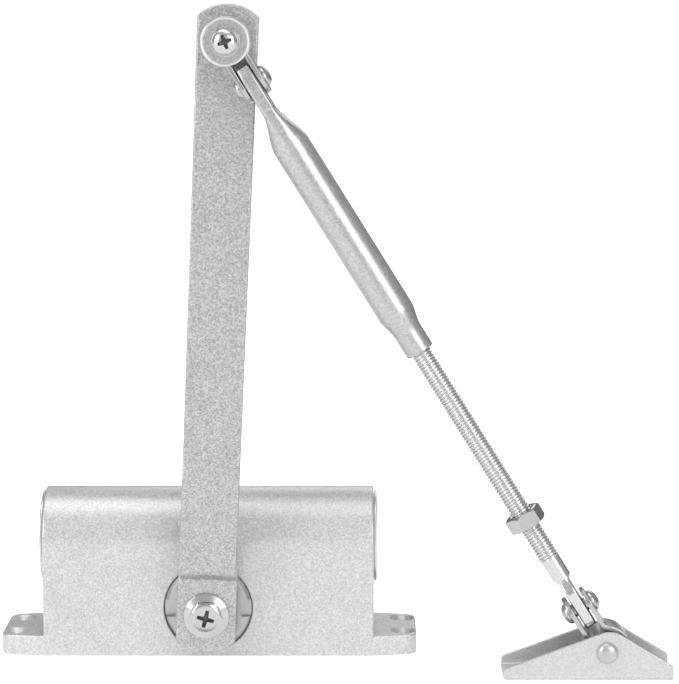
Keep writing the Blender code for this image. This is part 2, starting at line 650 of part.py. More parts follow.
def make_closing_spring():
    """A coil spring from the pocket in the piston to the right-hand plug, with closed end turns."""
    start = SPRING_POCKET_X + SPRING_WIRE_RADIUS + GAP
    end = BODY_HALF_LENGTH - PLUG_SEAT_DEPTH - SPRING_WIRE_RADIUS
    per_turn = 12
    count = SPRING_TURNS * per_turn
    closed = 1.2 * 2 * SPRING_WIRE_RADIUS  # how far each end turn climbs
    curve = bpy.data.curves.new("closing_spring", "CURVE")
    curve.dimensions = "3D"
    curve.bevel_depth = SPRING_WIRE_RADIUS
    curve.bevel_resolution = 2
    curve.use_fill_caps = True
    spline = curve.splines.new("POLY")
    spline.points.add(count)
    for i, point in enumerate(spline.points):
        turn = i / per_turn
        open_turns = min(max(turn - 1, 0), SPRING_TURNS - 2) / (SPRING_TURNS - 2)
        end_turns = min(turn, 1) + max(turn - SPRING_TURNS + 1, 0)
        x = start + closed * end_turns + (end - start - 2 * closed) * open_turns
        angle = 2 * math.pi * turn
        y = SPRING_MEAN_RADIUS * math.cos(angle)
        z = SPRING_MEAN_RADIUS * math.sin(angle)
        point.co = (x, y, z, 1.0)
    add("closing_spring", curve, bore_frame, SPRING_STEEL)


def make_regulating_screws():
    """Two needle screws, each with an O-ring, throttle the oil for closing and for latching."""
    groove_end = VALVE_GROOVE_X + VALVE_GROOVE_WIDTH
    tip = VALVE_HOLE_END_X + PAST
    profile = [
        (0.0, VALVE_HEAD_X),
        (VALVE_SCREW_RADIUS, VALVE_HEAD_X),
        (VALVE_SCREW_RADIUS, groove_end),
        (VALVE_GROOVE_RADIUS, groove_end),
        (VALVE_GROOVE_RADIUS, VALVE_GROOVE_X),
        (VALVE_SCREW_RADIUS, VALVE_GROOVE_X),
        (VALVE_SCREW_RADIUS, VALVE_SHANK_X),
        (VALVE_NEEDLE_RADIUS, VALVE_NEEDLE_X),
        (VALVE_TIP_RADIUS, tip),
        (0.0, tip),
    ]
    half_slot = VALVE_SLOT_WIDTH / 2
    reach = VALVE_HOLE_RADIUS
    for name, side in (("closing", -1), ("latching", 1)):
        place = (0, side * VALVE_HALF_SPACING, VALVE_Z)
        axis = frame(f"{name}_valve_axis", place)
        screw = turned("valve", profile, ALONG_X, steps=20)
        valve = add(f"{name}_speed_valve", screw, axis, ZINC)
        low, high = VALVE_HEAD_X - VALVE_SLOT_DEPTH, VALVE_HEAD_X + PAST
        slot = block("slot", (low, -reach, -half_slot), (high, reach, half_slot))
        combine(valve, "DIFFERENCE", slot, axis)
        middle = ((VALVE_GROOVE_X + groove_end) / 2, 0, 0)
        ring = torus("valve_seal", VALVE_SEAL_RADIUS, VALVE_SEAL_THICKNESS / 2, ALONG_X, middle, 16)
        add(f"{name}_valve_seal", ring, axis, RUBBER)


def make_main_arm():
    """A flat steel bar, joggled forwards above the head that sits on the spindle's square."""
    head_front = ARM_HEAD_BACK_Y - ARM_THICKNESS
    main_front = ARM_MAIN_BACK_Y - ARM_THICKNESS
    bottom = -ARM_HEAD_REACH - PAST
    top = ARM_LENGTH + ARM_END_REACH + PAST
    side_profile = [
        (head_front, bottom),
        (ARM_HEAD_BACK_Y, bottom),
        (ARM_HEAD_BACK_Y, ARM_BEND_LOW + ARM_BEND_SHIFT),
        (ARM_MAIN_BACK_Y, ARM_BEND_HIGH + ARM_BEND_SHIFT),
        (ARM_MAIN_BACK_Y, top),
        (main_front, top),
        (main_front, ARM_BEND_HIGH - ARM_BEND_SHIFT),
        (head_front, ARM_BEND_LOW - ARM_BEND_SHIFT),
    ]
    mesh = plate("main_arm", side_profile, -ARM_BLANK_HALF_WIDTH, ARM_BLANK_HALF_WIDTH, ALONG_X)
    arm = add("main_arm", mesh, arm_frame, ARM_PAINT)

    shoulder = ARM_LENGTH + ARM_END_REACH - ARM_END_SAGITTA
    end = crown(ARM_HALF_WIDTH, shoulder, ARM_END_SAGITTA, 8)
    head_base = -ARM_HEAD_REACH + ARM_END_SAGITTA
    head = [(-x, -y) for x, y in crown(ARM_HALF_WIDTH, -head_base, ARM_END_SAGITTA, 8)]
    right = [(ARM_HALF_WIDTH, ARM_BEND_LOW), (ARM_BEND_HALF_WIDTH, ARM_WAIST_Z)]
    outline = head + right + end + [(-x, z) for x, z in reversed(right)]
    back, front = -ARM_HEAD_BACK_Y - PAST, -main_front + PAST
    combine(arm, "INTERSECT", plate("arm_outline", outline, back, front, ALONG_Y), arm_frame)

    half = SQUARE_HALF + GAP
    hole = block("square_hole", (-half, -front, -half), (half, -back, half))
    combine(arm, "DIFFERENCE", hole, arm_frame)
    place = (0, 0, ARM_LENGTH)
    pin_hole = cylinder("elbow_hole", PIVOT_PIN_RADIUS + GAP, back, front, ALONG_Y, place, 20)
    combine(arm, "DIFFERENCE", pin_hole, arm_frame)


def make_arm_fixing():
    """A dished washer and a hexagon screw hold the arm on the spindle."""
    plate_front = -ARM_HEAD_BACK_Y + ARM_THICKNESS
    back = plate_front + GAP
    washer_profile = [
        (WASHER_BORE_RADIUS, back + WASHER_THICKNESS),
        (WASHER_CROWN_RADIUS, back + WASHER_THICKNESS),
        (WASHER_RADIUS, back + WASHER_EDGE_THICKNESS),
        (WASHER_RADIUS, back),
        (WASHER_BORE_RADIUS, back),
    ]
    add("arm_washer", turned("arm_washer", washer_profile, ALONG_Y, ring=True), arm_frame, ZINC)

    seat = back + WASHER_THICKNESS + GAP
    top = seat + ARM_SCREW_HEAD_HEIGHT
    corner = ARM_SCREW_ACROSS_FLATS / math.sqrt(3)
    head = cylinder("arm_screw", corner, seat, top, ALONG_Y, segments=6)
    screw = add("arm_screw", head, arm_frame, ZINC)
    ends = (ARM_SCREW_END_Y, seat + PAST)
    shank = cylinder("shank", ARM_SCREW_SHANK_RADIUS, *ends, ALONG_Y, segments=20)
    combine(screw, "UNION", shank, arm_frame)
    ends = (top - ARM_SCREW_DISH_DEPTH, top + PAST)
    combine(screw, "DIFFERENCE", cylinder("dish", ARM_SCREW_DISH_RADIUS, *ends, ALONG_Y), arm_frame)
    cut_cross(screw, arm_frame, ARM_SCREW_CROSS, top)


def cut_cross(screw, home, cross, top, place=(0, 0, 0)):
    """A cross recess for a screwdriver in a screw whose head faces the front."""
    reach, half_width, depth = cross
    middle = Vector(place)
    for half_x, half_z in ((reach, half_width), (half_width, reach)):
        low_corner = middle + Vector((-half_x, -top - PAST, -half_z))
        high_corner = middle + Vector((half_x, depth - top, half_z))
        combine(screw, "DIFFERENCE", block("cross_recess", low_corner, high_corner), home)


def make_elbow_pivot():
    """The pan-head screw clamps a disc and a flanged bush to the arm, and the strap turns on the bush."""
    place = (0, 0, ARM_LENGTH)
    arm_front = -ARM_MAIN_BACK_Y + ARM_THICKNESS
    bore = PIVOT_PIN_RADIUS + GAP
    flange_back = arm_front + GAP
    flange_front = flange_back + PIVOT_DISC_THICKNESS
    strap_front = -FOREARM_Y + STRAP_HALF_DEPTH
    bush_profile = [
        (bore, strap_front),
        (PIVOT_BUSH_RADIUS, strap_front),
        (PIVOT_BUSH_RADIUS, flange_front),
        (PIVOT_DISC_RADIUS, flange_front),
        (PIVOT_DISC_RADIUS, flange_back),
        (bore, flange_back),
    ]
    add("elbow_bush", turned("elbow_bush", bush_profile, ALONG_Y, place, ring=True), arm_frame, STEEL)
    disc_back = strap_front + GAP
    disc_front = disc_back + PIVOT_DISC_THICKNESS
    disc_profile = [
        (bore, disc_front),
        (PIVOT_DISC_RADIUS - PIVOT_DISC_CHAMFER, disc_front),
        (PIVOT_DISC_RADIUS, disc_front - PIVOT_DISC_CHAMFER),
        (PIVOT_DISC_RADIUS, disc_back),
        (bore, disc_back),
    ]
    disc = turned("elbow_disc", disc_profile, ALONG_Y, place, steps=32, ring=True)
    add("elbow_disc", disc, arm_frame, ZINC)

    seat = disc_front + GAP
    top = seat + ELBOW_SCREW_HEAD_HEIGHT
    profile = [(0.0, top)]
    profile += list(dome(ELBOW_SCREW_HEAD_RADIUS, seat + ELBOW_SCREW_RIM, top))[1:]
    profile += [
        (ELBOW_SCREW_HEAD_RADIUS, seat),
        (PIVOT_PIN_RADIUS, seat),
        (PIVOT_PIN_RADIUS, -ARM_MAIN_BACK_Y + GAP),
        (0.0, -ARM_MAIN_BACK_Y + GAP),
    ]
    screw = add("elbow_screw", turned("elbow_screw", profile, ALONG_Y, place), arm_frame, ZINC)
    cut_cross(screw, arm_frame, ELBOW_SCREW_CROSS, top, place)


def strap_outlines():
    """The strap's outline seen along its pivot, and the side view that rounds the ends of its ears."""
    outer_ear = EAR_INNER + STRAP_THICKNESS
    inner_radius = STRAP_RADIUS - STRAP_THICKNESS
    ear_end = RIVET_REACH + STRAP_HALF_DEPTH
    outer_angle = math.degrees(math.asin(outer_ear / STRAP_RADIUS))
    inner_angle = math.degrees(math.asin(EAR_INNER / inner_radius))
    outer_loop = list(arc((0.0, 0.0), STRAP_RADIUS, 90 - outer_angle, 90 + outer_angle - 360, 26))
    inner_loop = list(arc((0.0, 0.0), inner_radius, 90 + inner_angle - 360, 90 - inner_angle, 22))
    outline = [(outer_ear, ear_end + PAST)] + outer_loop
    outline += [(-outer_ear, ear_end + PAST), (-EAR_INNER, ear_end + PAST)]
    outline += inner_loop + [(EAR_INNER, ear_end + PAST)]
    wide = STRAP_HALF_DEPTH + PAST
    low = -STRAP_RADIUS - PAST
    shaving = 0.02 * MM  # keeps the round ends off the strap's own edges
    side = [(-wide, low), (wide, low), (wide, RIVET_REACH - PAST)]
    side += arc((0.0, RIVET_REACH), STRAP_HALF_DEPTH - shaving, 0, 180, 12)
    side += [(-wide, RIVET_REACH - PAST)]
    return outline, side


def cross_rivet_hole(place=(0, 0, 0)):
    """A cutter for the hole that a cross rivet passes through."""
    reach = RIVET_CUTTER_REACH
    return cylinder("rivet_hole", CROSS_RIVET_RADIUS + GAP, -reach, reach, ALONG_X, place, 20)


def make_yoke(end, home):
    """A strap wrapped round the pivot bush, whose two ears carry the cross rivet."""
    outline, side = strap_outlines()
    mesh = plate("strap", outline, -STRAP_HALF_DEPTH, STRAP_HALF_DEPTH, ALONG_Y)
    yoke = add(f"{end}_yoke_strap", mesh, home, ZINC)
    reach = STRAP_RADIUS + PAST
    combine(yoke, "INTERSECT", plate("strap_side", side, -reach, reach, ALONG_X), home)
    place = (0, 0, RIVET_REACH)
    combine(yoke, "DIFFERENCE", cross_rivet_hole(place), home)

    head_radius, head_height = CROSS_RIVET_HEAD
    head_base = EAR_INNER + STRAP_THICKNESS + GAP
    half = list(dome(head_radius, head_base, head_base + head_height))
    half += [(CROSS_RIVET_RADIUS, head_base)]
    profile = half + [(radius, -height) for radius, height in reversed(half)]
    rivet = turned("cross_rivet", profile, ALONG_X, place, steps=20)
    add(f"{end}_cross_rivet", rivet, home, ZINC)


def make_forearm_tube():
    """A steel tube, flattened to a tang at the elbow and swaged to a threaded neck at the other end."""
    rings = []
    for past_start, share in ((0.0, 0.62), (0.9, 0.85), (2.6, 0.97), (4.6, 1.0), (15.9, 1.0)):
        z = TANG_START + past_start * MM
        rings.append((z, TANG_HALF_THICKNESS, share * TANG_HALF_WIDTH, TANG_SQUARENESS))
    for step in range(1, 7):
        t = step / 6
        ease = t * t * (3 - 2 * t)
        z = TUBE_FLAT_END + (TUBE_ROUND_START - TUBE_FLAT_END) * t
        half_x = TANG_HALF_THICKNESS + (TUBE_RADIUS - TANG_HALF_THICKNESS) * ease
        half_y = TANG_HALF_WIDTH + (TUBE_RADIUS - TANG_HALF_WIDTH) * ease
        rings.append((z, half_x, half_y, TANG_SQUARENESS + (2 - TANG_SQUARENESS) * min(1, 1.5 * ease)))
    rings.append((TUBE_TAPER_START, TUBE_RADIUS, TUBE_RADIUS, 2.0))
    rings.append((TUBE_NECK_START, TUBE_NECK_RADIUS, TUBE_NECK_RADIUS, 2.0))
    rings.append((TUBE_END, TUBE_NECK_RADIUS, TUBE_NECK_RADIUS, 2.0))
    mesh = loft("forearm_tube", [(z - RIVET_REACH, x, y, power) for z, x, y, power in rings])
    tube = add("forearm_tube", mesh, elbow_tilt_frame, SILVER_PAINT)
    ends = (TUBE_HOLLOW_START - RIVET_REACH, TUBE_HOLLOW_END - RIVET_REACH)
    combine(tube, "DIFFERENCE", cylinder("hollow", TUBE_HOLLOW_RADIUS, *ends, ALONG_Z), elbow_tilt_frame)
    ends = (TUBE_TAPER_START - RIVET_REACH, TUBE_END + PAST - RIVET_REACH)
    thread = cylinder("neck_thread", ROD_RADIUS + GAP, *ends, ALONG_Z)
    combine(tube, "DIFFERENCE", thread, elbow_tilt_frame)
    combine(tube, "DIFFERENCE", cross_rivet_hole(), elbow_tilt_frame)


def make_threaded_rod():
    """An M8 rod, screwed into the tube to set the forearm's length, flattened to a blade at the foot."""
    rivet_at = FOREARM_LENGTH - RIVET_REACH
    rings = [
        (ROD_START, ROD_RADIUS - ROD_END_CHAMFER, ROD_RADIUS - ROD_END_CHAMFER, 2.0),
        (ROD_START + ROD_END_CHAMFER, ROD_RADIUS, ROD_RADIUS, 2.0),
        (THREAD_END, ROD_RADIUS, ROD_RADIUS, 2.0),
        (THREAD_END + 0.5 * MM, SHANK_RADIUS, SHANK_RADIUS, 2.0),
        (BLADE_START, SHANK_RADIUS, SHANK_RADIUS, 2.0),
        (BLADE_START + 3 * MM, 2.9 * MM, 4.5 * MM, 3.0),
        (BLADE_START + 6 * MM, BLADE_HALF_THICKNESS, BLADE_HALF_WIDTH, 6.0),
        (BLADE_END - 3 * MM, BLADE_HALF_THICKNESS, BLADE_HALF_WIDTH, 6.0),
        (BLADE_END - 1 * MM, BLADE_HALF_THICKNESS, 0.85 * BLADE_HALF_WIDTH, 6.0),
        (BLADE_END, BLADE_HALF_THICKNESS, 0.6 * BLADE_HALF_WIDTH, 6.0),
    ]
    mesh = loft("threaded_rod", [(z - rivet_at, x, y, power) for z, x, y, power in rings])
    rod = add("threaded_rod", mesh, foot_tilt_frame, ZINC)
    combine(rod, "DIFFERENCE", cross_rivet_hole(), foot_tilt_frame)

    middle = LOCK_NUT_MIDDLE - rivet_at
    low, high = middle - LOCK_NUT_HEIGHT / 2, middle + LOCK_NUT_HEIGHT / 2
    corner = LOCK_NUT_ACROSS_FLATS / math.sqrt(3)
    hexagon = cylinder("lock_nut", corner, low, high, ALONG_Z, segments=6)
    nut = add("lock_nut", hexagon, foot_tilt_frame, ZINC)
    thread = cylinder("nut_thread", ROD_RADIUS + GAP, low - PAST, high + PAST, ALONG_Z)
    combine(nut, "DIFFERENCE", thread, foot_tilt_frame)


def tangent_from(point, centre, radius, side):
    """Where the line from a point touches a circle, on the side given as +1 or -1."""
    to_centre = centre - point
    away = to_centre.length
    swing = math.acos(radius / away)
    back = (-to_centre).normalized()
    turned_back = Vector(
        (
            back.x * math.cos(swing) - side * back.y * math.sin(swing),
            side * back.x * math.sin(swing) + back.y * math.cos(swing),
        )
    )
    return centre + radius * turned_back


def make_foot():
    """A channel pressed from sheet: two peaked walls on a base plate, with the pivot rivet across them."""
    left_corner = Vector((BRACKET_LEFT_X, BRACKET_LEFT_HEIGHT))
    right_corner = Vector((BRACKET_RIGHT_X, BRACKET_RIGHT_HEIGHT))
    start = tangent_from(right_corner, BRACKET_PEAK, BRACKET_PEAK_RADIUS, 1) - BRACKET_PEAK
    end = tangent_from(left_corner, BRACKET_PEAK, BRACKET_PEAK_RADIUS, -1) - BRACKET_PEAK
    angles = (math.degrees(math.atan2(start.y, start.x)), math.degrees(math.atan2(end.y, end.x)))
    outline = [(BRACKET_LEFT_X, 0.0), (BRACKET_RIGHT_X, 0.0), tuple(right_corner)]
    outline += arc(BRACKET_PEAK, BRACKET_PEAK_RADIUS, *angles, 10)
    outline += [tuple(left_corner)]
    mesh = plate("foot_bracket", outline, -BRACKET_BACK_Y, -BRACKET_FRONT_Y, ALONG_Y)
    mesh.transform(Matrix.Translation((-FOOT.x, -FOREARM_Y, -FOOT.z)))
    bracket = add("foot_bracket", mesh, foot_frame, SILVER_PAINT)
    above = BRACKET_PEAK.y + BRACKET_PEAK_RADIUS + PAST
    channel = block(
        "channel",
        (BRACKET_LEFT_X - PAST, BRACKET_FRONT_Y + BRACKET_SHEET, BRACKET_SHEET),
        (BRACKET_RIGHT_X + PAST, BRACKET_BACK_Y - BRACKET_SHEET, above),
    )
    combine(bracket, "DIFFERENCE", channel, body_frame)
    for x in BRACKET_HOLES_X:
        ends = (-PAST, BRACKET_SHEET + PAST)
        hole = cylinder("screw_hole", BRACKET_HOLE_RADIUS, *ends, ALONG_Z, (x, FOREARM_Y, 0), 24)
        combine(bracket, "DIFFERENCE", hole, body_frame)
    half_width = (BRACKET_BACK_Y - BRACKET_FRONT_Y) / 2
    ends = (-half_width - PAST, half_width + PAST)
    pin_hole = cylinder("pin_hole", PIVOT_PIN_RADIUS + GAP, *ends, ALONG_Y, (0, 0, 0), 20)
    combine(bracket, "DIFFERENCE", pin_hole, foot_frame)

    bore = PIVOT_PIN_RADIUS + GAP
    bush_half = half_width - BRACKET_SHEET - GAP
    bush_profile = [
        (bore, bush_half),
        (PIVOT_BUSH_RADIUS, bush_half),
        (PIVOT_BUSH_RADIUS, -bush_half),
        (bore, -bush_half),
    ]
    add("foot_bush", turned("foot_bush", bush_profile, ALONG_Y, ring=True), foot_frame, STEEL)
    head_base = half_width + GAP
    head_radius, head_height = FOOT_RIVET_HEAD
    half = list(dome(head_radius, head_base, head_base + head_height))
    half += [(PIVOT_PIN_RADIUS, head_base)]
    profile = half + [(radius, -height) for radius, height in reversed(half)]
    add("foot_rivet", turned("foot_rivet", profile, ALONG_Y, steps=20), foot_frame, ZINC)


make_body_casting()
make_end_plugs()
make_spindle_bearings()
make_pinion_spindle()
make_piston()
make_closing_spring()
make_regulating_screws()
make_main_arm()
make_arm_fixing()
make_elbow_pivot()
make_yoke("elbow", elbow_frame)
make_forearm_tube()
make_threaded_rod()
make_yoke("foot", foot_yoke_frame)
make_foot()
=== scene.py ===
import json
import math

import bmesh
import bpy
from mathutils import Matrix, Vector


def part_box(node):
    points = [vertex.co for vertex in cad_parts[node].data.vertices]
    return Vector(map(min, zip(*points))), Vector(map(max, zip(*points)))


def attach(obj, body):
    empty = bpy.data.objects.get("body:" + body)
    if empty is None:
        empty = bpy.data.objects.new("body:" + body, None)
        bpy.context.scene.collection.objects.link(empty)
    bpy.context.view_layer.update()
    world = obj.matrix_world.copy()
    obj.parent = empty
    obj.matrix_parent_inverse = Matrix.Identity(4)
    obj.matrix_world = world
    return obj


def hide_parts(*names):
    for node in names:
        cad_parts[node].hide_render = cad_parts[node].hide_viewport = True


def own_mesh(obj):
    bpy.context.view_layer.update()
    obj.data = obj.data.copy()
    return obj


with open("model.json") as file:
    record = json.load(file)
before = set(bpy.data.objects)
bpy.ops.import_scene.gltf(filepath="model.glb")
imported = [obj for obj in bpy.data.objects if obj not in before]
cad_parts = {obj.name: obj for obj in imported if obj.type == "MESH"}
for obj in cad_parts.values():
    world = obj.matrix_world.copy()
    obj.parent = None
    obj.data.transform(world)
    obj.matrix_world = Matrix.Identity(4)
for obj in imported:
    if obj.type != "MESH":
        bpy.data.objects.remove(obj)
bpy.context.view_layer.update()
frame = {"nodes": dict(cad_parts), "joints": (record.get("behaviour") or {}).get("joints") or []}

scene = bpy.context.scene

# ------------------------------------------------------------------------------------------------
# The studio. The closer stands on a white floor between two wide side lamps, with one lamp high in
# front and one behind. The camera has a long lens and looks down a little from the front.

CAMERA_PLACE = (0.0574, -0.9794, 0.2565)
CAMERA_DOWN = math.radians(7.79)
CAMERA_ROLL = math.radians(0.065)
CAMERA_TURN = math.radians(0.32)
CAMERA_LENS = 131.26
FLOOR_HALF = 6.0
FLOOR_Z = -0.0003
LAMPS_AIM = Vector((0.03, 0.0, 0.1))

camera = bpy.data.objects.new("camera", bpy.data.cameras.new("camera"))
camera.data.lens = CAMERA_LENS
camera.data.sensor_width = 36.0
camera.data.clip_end = 50.0
camera.location = CAMERA_PLACE
camera.rotation_euler = (math.radians(90) - CAMERA_DOWN, CAMERA_ROLL, CAMERA_TURN)
scene.collection.objects.link(camera)
scene.camera = camera
scene.view_settings.view_transform = "Standard"


def feed(tree, node, inputs):
    """Gives a node's inputs, by name or number, their values or other nodes' outputs."""
    for key, value in inputs.items():
        if isinstance(value, bpy.types.NodeSocket):
            tree.links.new(value, node.inputs[key])
        else:
            node.inputs[key].default_value = value


def add_node(tree, kind, inputs=None, **settings):
    """A new node in a tree, with its settings made and its inputs fed."""
    node = tree.nodes.new(kind)
    for setting, value in settings.items():
        setattr(node, setting, value)
    feed(tree, node, inputs or {})
    return node


def math_node(tree, operation, *values):
    """The result of one sum. The values are numbers or other nodes' outputs."""
    return add_node(tree, "ShaderNodeMath", dict(enumerate(values)), operation=operation).outputs[0]


def two_tones(tree, factor, first, second, ends=(0.0, 1.0)):
    """A colour that runs from one tone to another as a factor rises between the two ends."""
    ramp = add_node(tree, "ShaderNodeValToRGB", {"Fac": factor})
    for element, tone, end in zip(ramp.color_ramp.elements, (first, second), ends):
        element.position = end
        element.color = (*tone, 1)
    return ramp.outputs["Color"]


def new_material(name):
    """A material made of nodes, with its tree and its main shader."""
    material = bpy.data.materials.new(name)
    material.use_nodes = True
    return material, material.node_tree, material.node_tree.nodes["Principled BSDF"]


world = bpy.data.worlds.new("studio")
scene.world = world
world.use_nodes = True
sky = world.node_tree
sky.nodes.clear()
direction = add_node(sky, "ShaderNodeTexCoord").outputs["Generated"]
towards = add_node(sky, "ShaderNodeSeparateXYZ", {0: direction})
lighter_above = two_tones(sky, towards.outputs["Z"], (0.62, 0.62, 0.62), (1.0, 1.0, 1.0), (0.02, 0.4))
darker_behind = math_node(sky, "MULTIPLY_ADD", towards.outputs["Y"], -0.17, 0.42)
room = add_node(sky, "ShaderNodeBackground", {"Color": lighter_above, "Strength": darker_behind})
backdrop = add_node(sky, "ShaderNodeBackground", {"Color": (1, 1, 1, 1), "Strength": 1.0})
seen = add_node(sky, "ShaderNodeLightPath").outputs["Is Camera Ray"]
both = add_node(sky, "ShaderNodeMixShader", {0: seen, 1: room.outputs[0], 2: backdrop.outputs[0]})
add_node(sky, "ShaderNodeOutputWorld", {"Surface": both.outputs[0]})


def hang_lamp(name, place, width, tall, power):
    """A soft rectangular lamp that points at the closer."""
    lamp = bpy.data.objects.new(name, bpy.data.lights.new(name, "AREA"))
    lamp.data.shape = "RECTANGLE"
    lamp.data.size = width
    lamp.data.size_y = tall
    lamp.data.energy = power
    lamp.location = place
    lamp.rotation_euler = (LAMPS_AIM - Vector(place)).to_track_quat("-Z", "Y").to_euler()
    scene.collection.objects.link(lamp)


hang_lamp("left_lamp", (-1.15, -0.95, 0.65), 0.7, 1.0, 9)
hang_lamp("right_lamp", (0.85, -1.15, 0.58), 0.85, 0.9, 6.0)
hang_lamp("high_lamp", (-0.12, -0.16, 1.3), 1.4, 0.5, 4.2)
hang_lamp("rear_lamp", (0.35, 1.40, 0.95), 1.2, 0.8, 3.5)

white_floor, floor_tree, floor_shader = new_material("white_floor")
to_camera = add_node(floor_tree, "ShaderNodeLightPath").outputs["Is Camera Ray"]
glow = math_node(floor_tree, "MULTIPLY_ADD", to_camera, 0.74, 0.26)
feed(floor_tree, floor_shader, {"Base Color": (0.9, 0.9, 0.9, 1), "Roughness": 0.9})
feed(floor_tree, floor_shader, {"Emission Color": (1, 1, 1, 1), "Emission Strength": glow})
floor_mesh = bpy.data.meshes.new("floor")
bm = bmesh.new()
bmesh.ops.create_grid(bm, size=FLOOR_HALF, matrix=Matrix.Translation((0, 0, FLOOR_Z)))
bm.to_mesh(floor_mesh)
bm.free()
floor_mesh.materials.append(white_floor)
floor = bpy.data.objects.new("floor", floor_mesh)
scene.collection.objects.link(floor)

# ------------------------------------------------------------------------------------------------
# Body casting. One aluminium casting, painted silver, holds the oil, the piston and the spindle. It
# has a flat mounting face, a round crown over the bore, and a lug with two screw holes at each end.

MM = 0.001  # shapes are drawn in millimetres and become metres when they are placed
UPRIGHT = Matrix.Identity(4)

CASTING_EDGE = 0.9
CASTING_FOOT_EDGE = 0.5
LUG_THICKNESS = 8.0
LUG_CORNER = 5.0
LUG_EDGE = 0.7
LUG_TAPER = 3.0
LUG_OVERLAP = 4.0
MOUNT_HOLE = 2.75
COUNTERSINK = 5.0
MOUNT_HOLE_Y = 10.5
MOUNT_HOLE_FROM_END = 5.3
SEAT_CLEARANCE = 0.3
SEAT_LIP = 0.35
BORE = 16.0
CHAMBER = 12.7
VALVE_HOLE = 3.8
VALVE_Y = 9.0
VALVE_Z = 17.0
VALVE_HOLE_DEPTH = 25.3
PLUG_SEAT_DEPTH = 9.2
PLUG_SEAT_RADIUS = 17.3
NUT_SEAT_Y = 15.0
PAST = 1.0  # how far a cutter runs on past the face that it opens


def box_mm(node):
    """A CAD node's lowest and highest corners, in millimetres."""
    low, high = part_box(node)
    return Vector(low) / MM, Vector(high) / MM


def pivot_mm(joint_name):
    """Where a joint turns, in millimetres."""
    for joint in frame["joints"]:
        if joint["name"] == joint_name:
            return Vector(joint["pos_m"]) / MM


def axes(origin, x_axis, z_axis):
    """Puts a shape's own X and Z along two directions, with its origin at a point."""
    x, z = Vector(x_axis).normalized(), Vector(z_axis).normalized()
    return Matrix.Translation(origin) @ Matrix((x, z.cross(x), z)).transposed().to_4x4()


def sweep(centre, radius, start, end, steps):
    """Points along an arc, with the angles in degrees."""
    for i in range(steps + 1):
        angle = math.radians(start + (end - start) * i / steps)
        yield (centre[0] + radius * math.cos(angle), centre[1] + radius * math.sin(angle))


def quarter_round(steps, first=0):
    """The sine and cosine of evenly spaced angles up to 90 degrees."""
    for i in range(first, steps + 1):
        angle = math.radians(90 * i / steps)
        yield (math.sin(angle), math.cos(angle))


def eased(points, steps=4, closed=True):
    """An outline whose corners are rounded where a point has a third value, the corner's radius."""
    done = []
    for i, point in enumerate(points):
        corner = Vector(point[:2])
        ends_here = not closed and i in (0, len(points) - 1)
        if len(point) < 3 or not point[2] or ends_here:
            done.append(tuple(corner))
            continue
        before = (Vector(points[i - 1][:2]) - corner).normalized()
        after = (Vector(points[(i + 1) % len(points)][:2]) - corner).normalized()
        half = before.angle(after) / 2
        centre = corner + (before + after).normalized() * point[2] / math.sin(half)
        first = corner + before * point[2] / math.tan(half) - centre
        last = corner + after * point[2] / math.tan(half) - centre
        start = math.atan2(first.y, first.x)
        turn = (math.atan2(last.y, last.x) - start + math.pi) % (2 * math.pi) - math.pi
        done += sweep(centre, point[2], math.degrees(start), math.degrees(start + turn), steps)
    return done


def inset(outline, distance):
    """A closed anticlockwise outline moved inwards."""
    moved = []
    for i, here in enumerate(outline):
        here = Vector(here)
        before = (here - Vector(outline[i - 1])).normalized()
        after = (Vector(outline[(i + 1) % len(outline)]) - here).normalized()
        left_before, left_after = Vector((-before.y, before.x)), Vector((-after.y, after.x))
        mitre = (left_before + left_after) / (1 + left_before.dot(left_after))
        moved.append(tuple(here + distance * mitre))
    return moved


def skin(rings):
    """A closed solid through rings of equally many points, with a flat face at each end."""
    bm = bmesh.new()
    rows = [[bm.verts.new(point) for point in ring] for ring in rings]
    for low, high in zip(rows, rows[1:]):
        for i in range(len(low)):
            j = (i + 1) % len(low)
            bm.faces.new((low[i], low[j], high[j], high[i]))
    bm.faces.new(reversed(rows[0]))
    bm.faces.new(rows[-1])
    return bm


def slab(outline, low, high, low_edge=0.0, high_edge=0.0, steps=3):
    """An outline in XY given a thickness along Z, with rounded edges round both faces."""
    levels = []
    for face, edge, inwards in ((low, low_edge, 1), (high, high_edge, -1)):
        side = [(face + inwards * edge * (1 - c), edge * (1 - s)) for s, c in quarter_round(steps)]
        side = side if edge else side[:1]
        levels += side if inwards > 0 else side[::-1]
    return skin([[(x, y, z) for x, y in inset(outline, by)] for z, by in levels])


def lathe(profile, steps=64, ring=False):
    """A solid turned about Z from (radius, height) points; a ring's profile is a closed loop."""
    bm = bmesh.new()
    points = [bm.verts.new((radius, 0.0, height)) for radius, height in profile]
    pairs = list(zip(points, points[1:])) + ([(points[-1], points[0])] if ring else [])
    edges = [bm.edges.new(pair) for pair in pairs]
    bmesh.ops.spin(
        bm,
        geom=points + edges,
        axis=(0, 0, 1),
        cent=(0, 0, 0),
        angle=2 * math.pi,
        steps=steps,
        use_merge=True,
    )
    bmesh.ops.remove_doubles(bm, verts=bm.verts, dist=1e-4)
    bmesh.ops.dissolve_degenerate(bm, edges=bm.edges, dist=1e-5)
    return bm


def placed(bm, place):
    """The same shape, moved."""
    bm.transform(place)
    return bm


def loose_object(bm):
    """A plain object for a modifier to work on. It faces outwards."""
    bm.normal_update()
    bmesh.ops.recalc_face_normals(bm, faces=bm.faces)
    mesh = bpy.data.meshes.new("blank")
    bm.to_mesh(mesh)
    bm.free()
    blank = bpy.data.objects.new("blank", mesh)
    scene.collection.objects.link(blank)
    return blank


def evaluated_mesh(source):
    """The mesh that an object's modifiers make."""
    bpy.context.view_layer.update()
    depsgraph = bpy.context.evaluated_depsgraph_get()
    return bpy.data.meshes.new_from_object(source.evaluated_get(depsgraph))


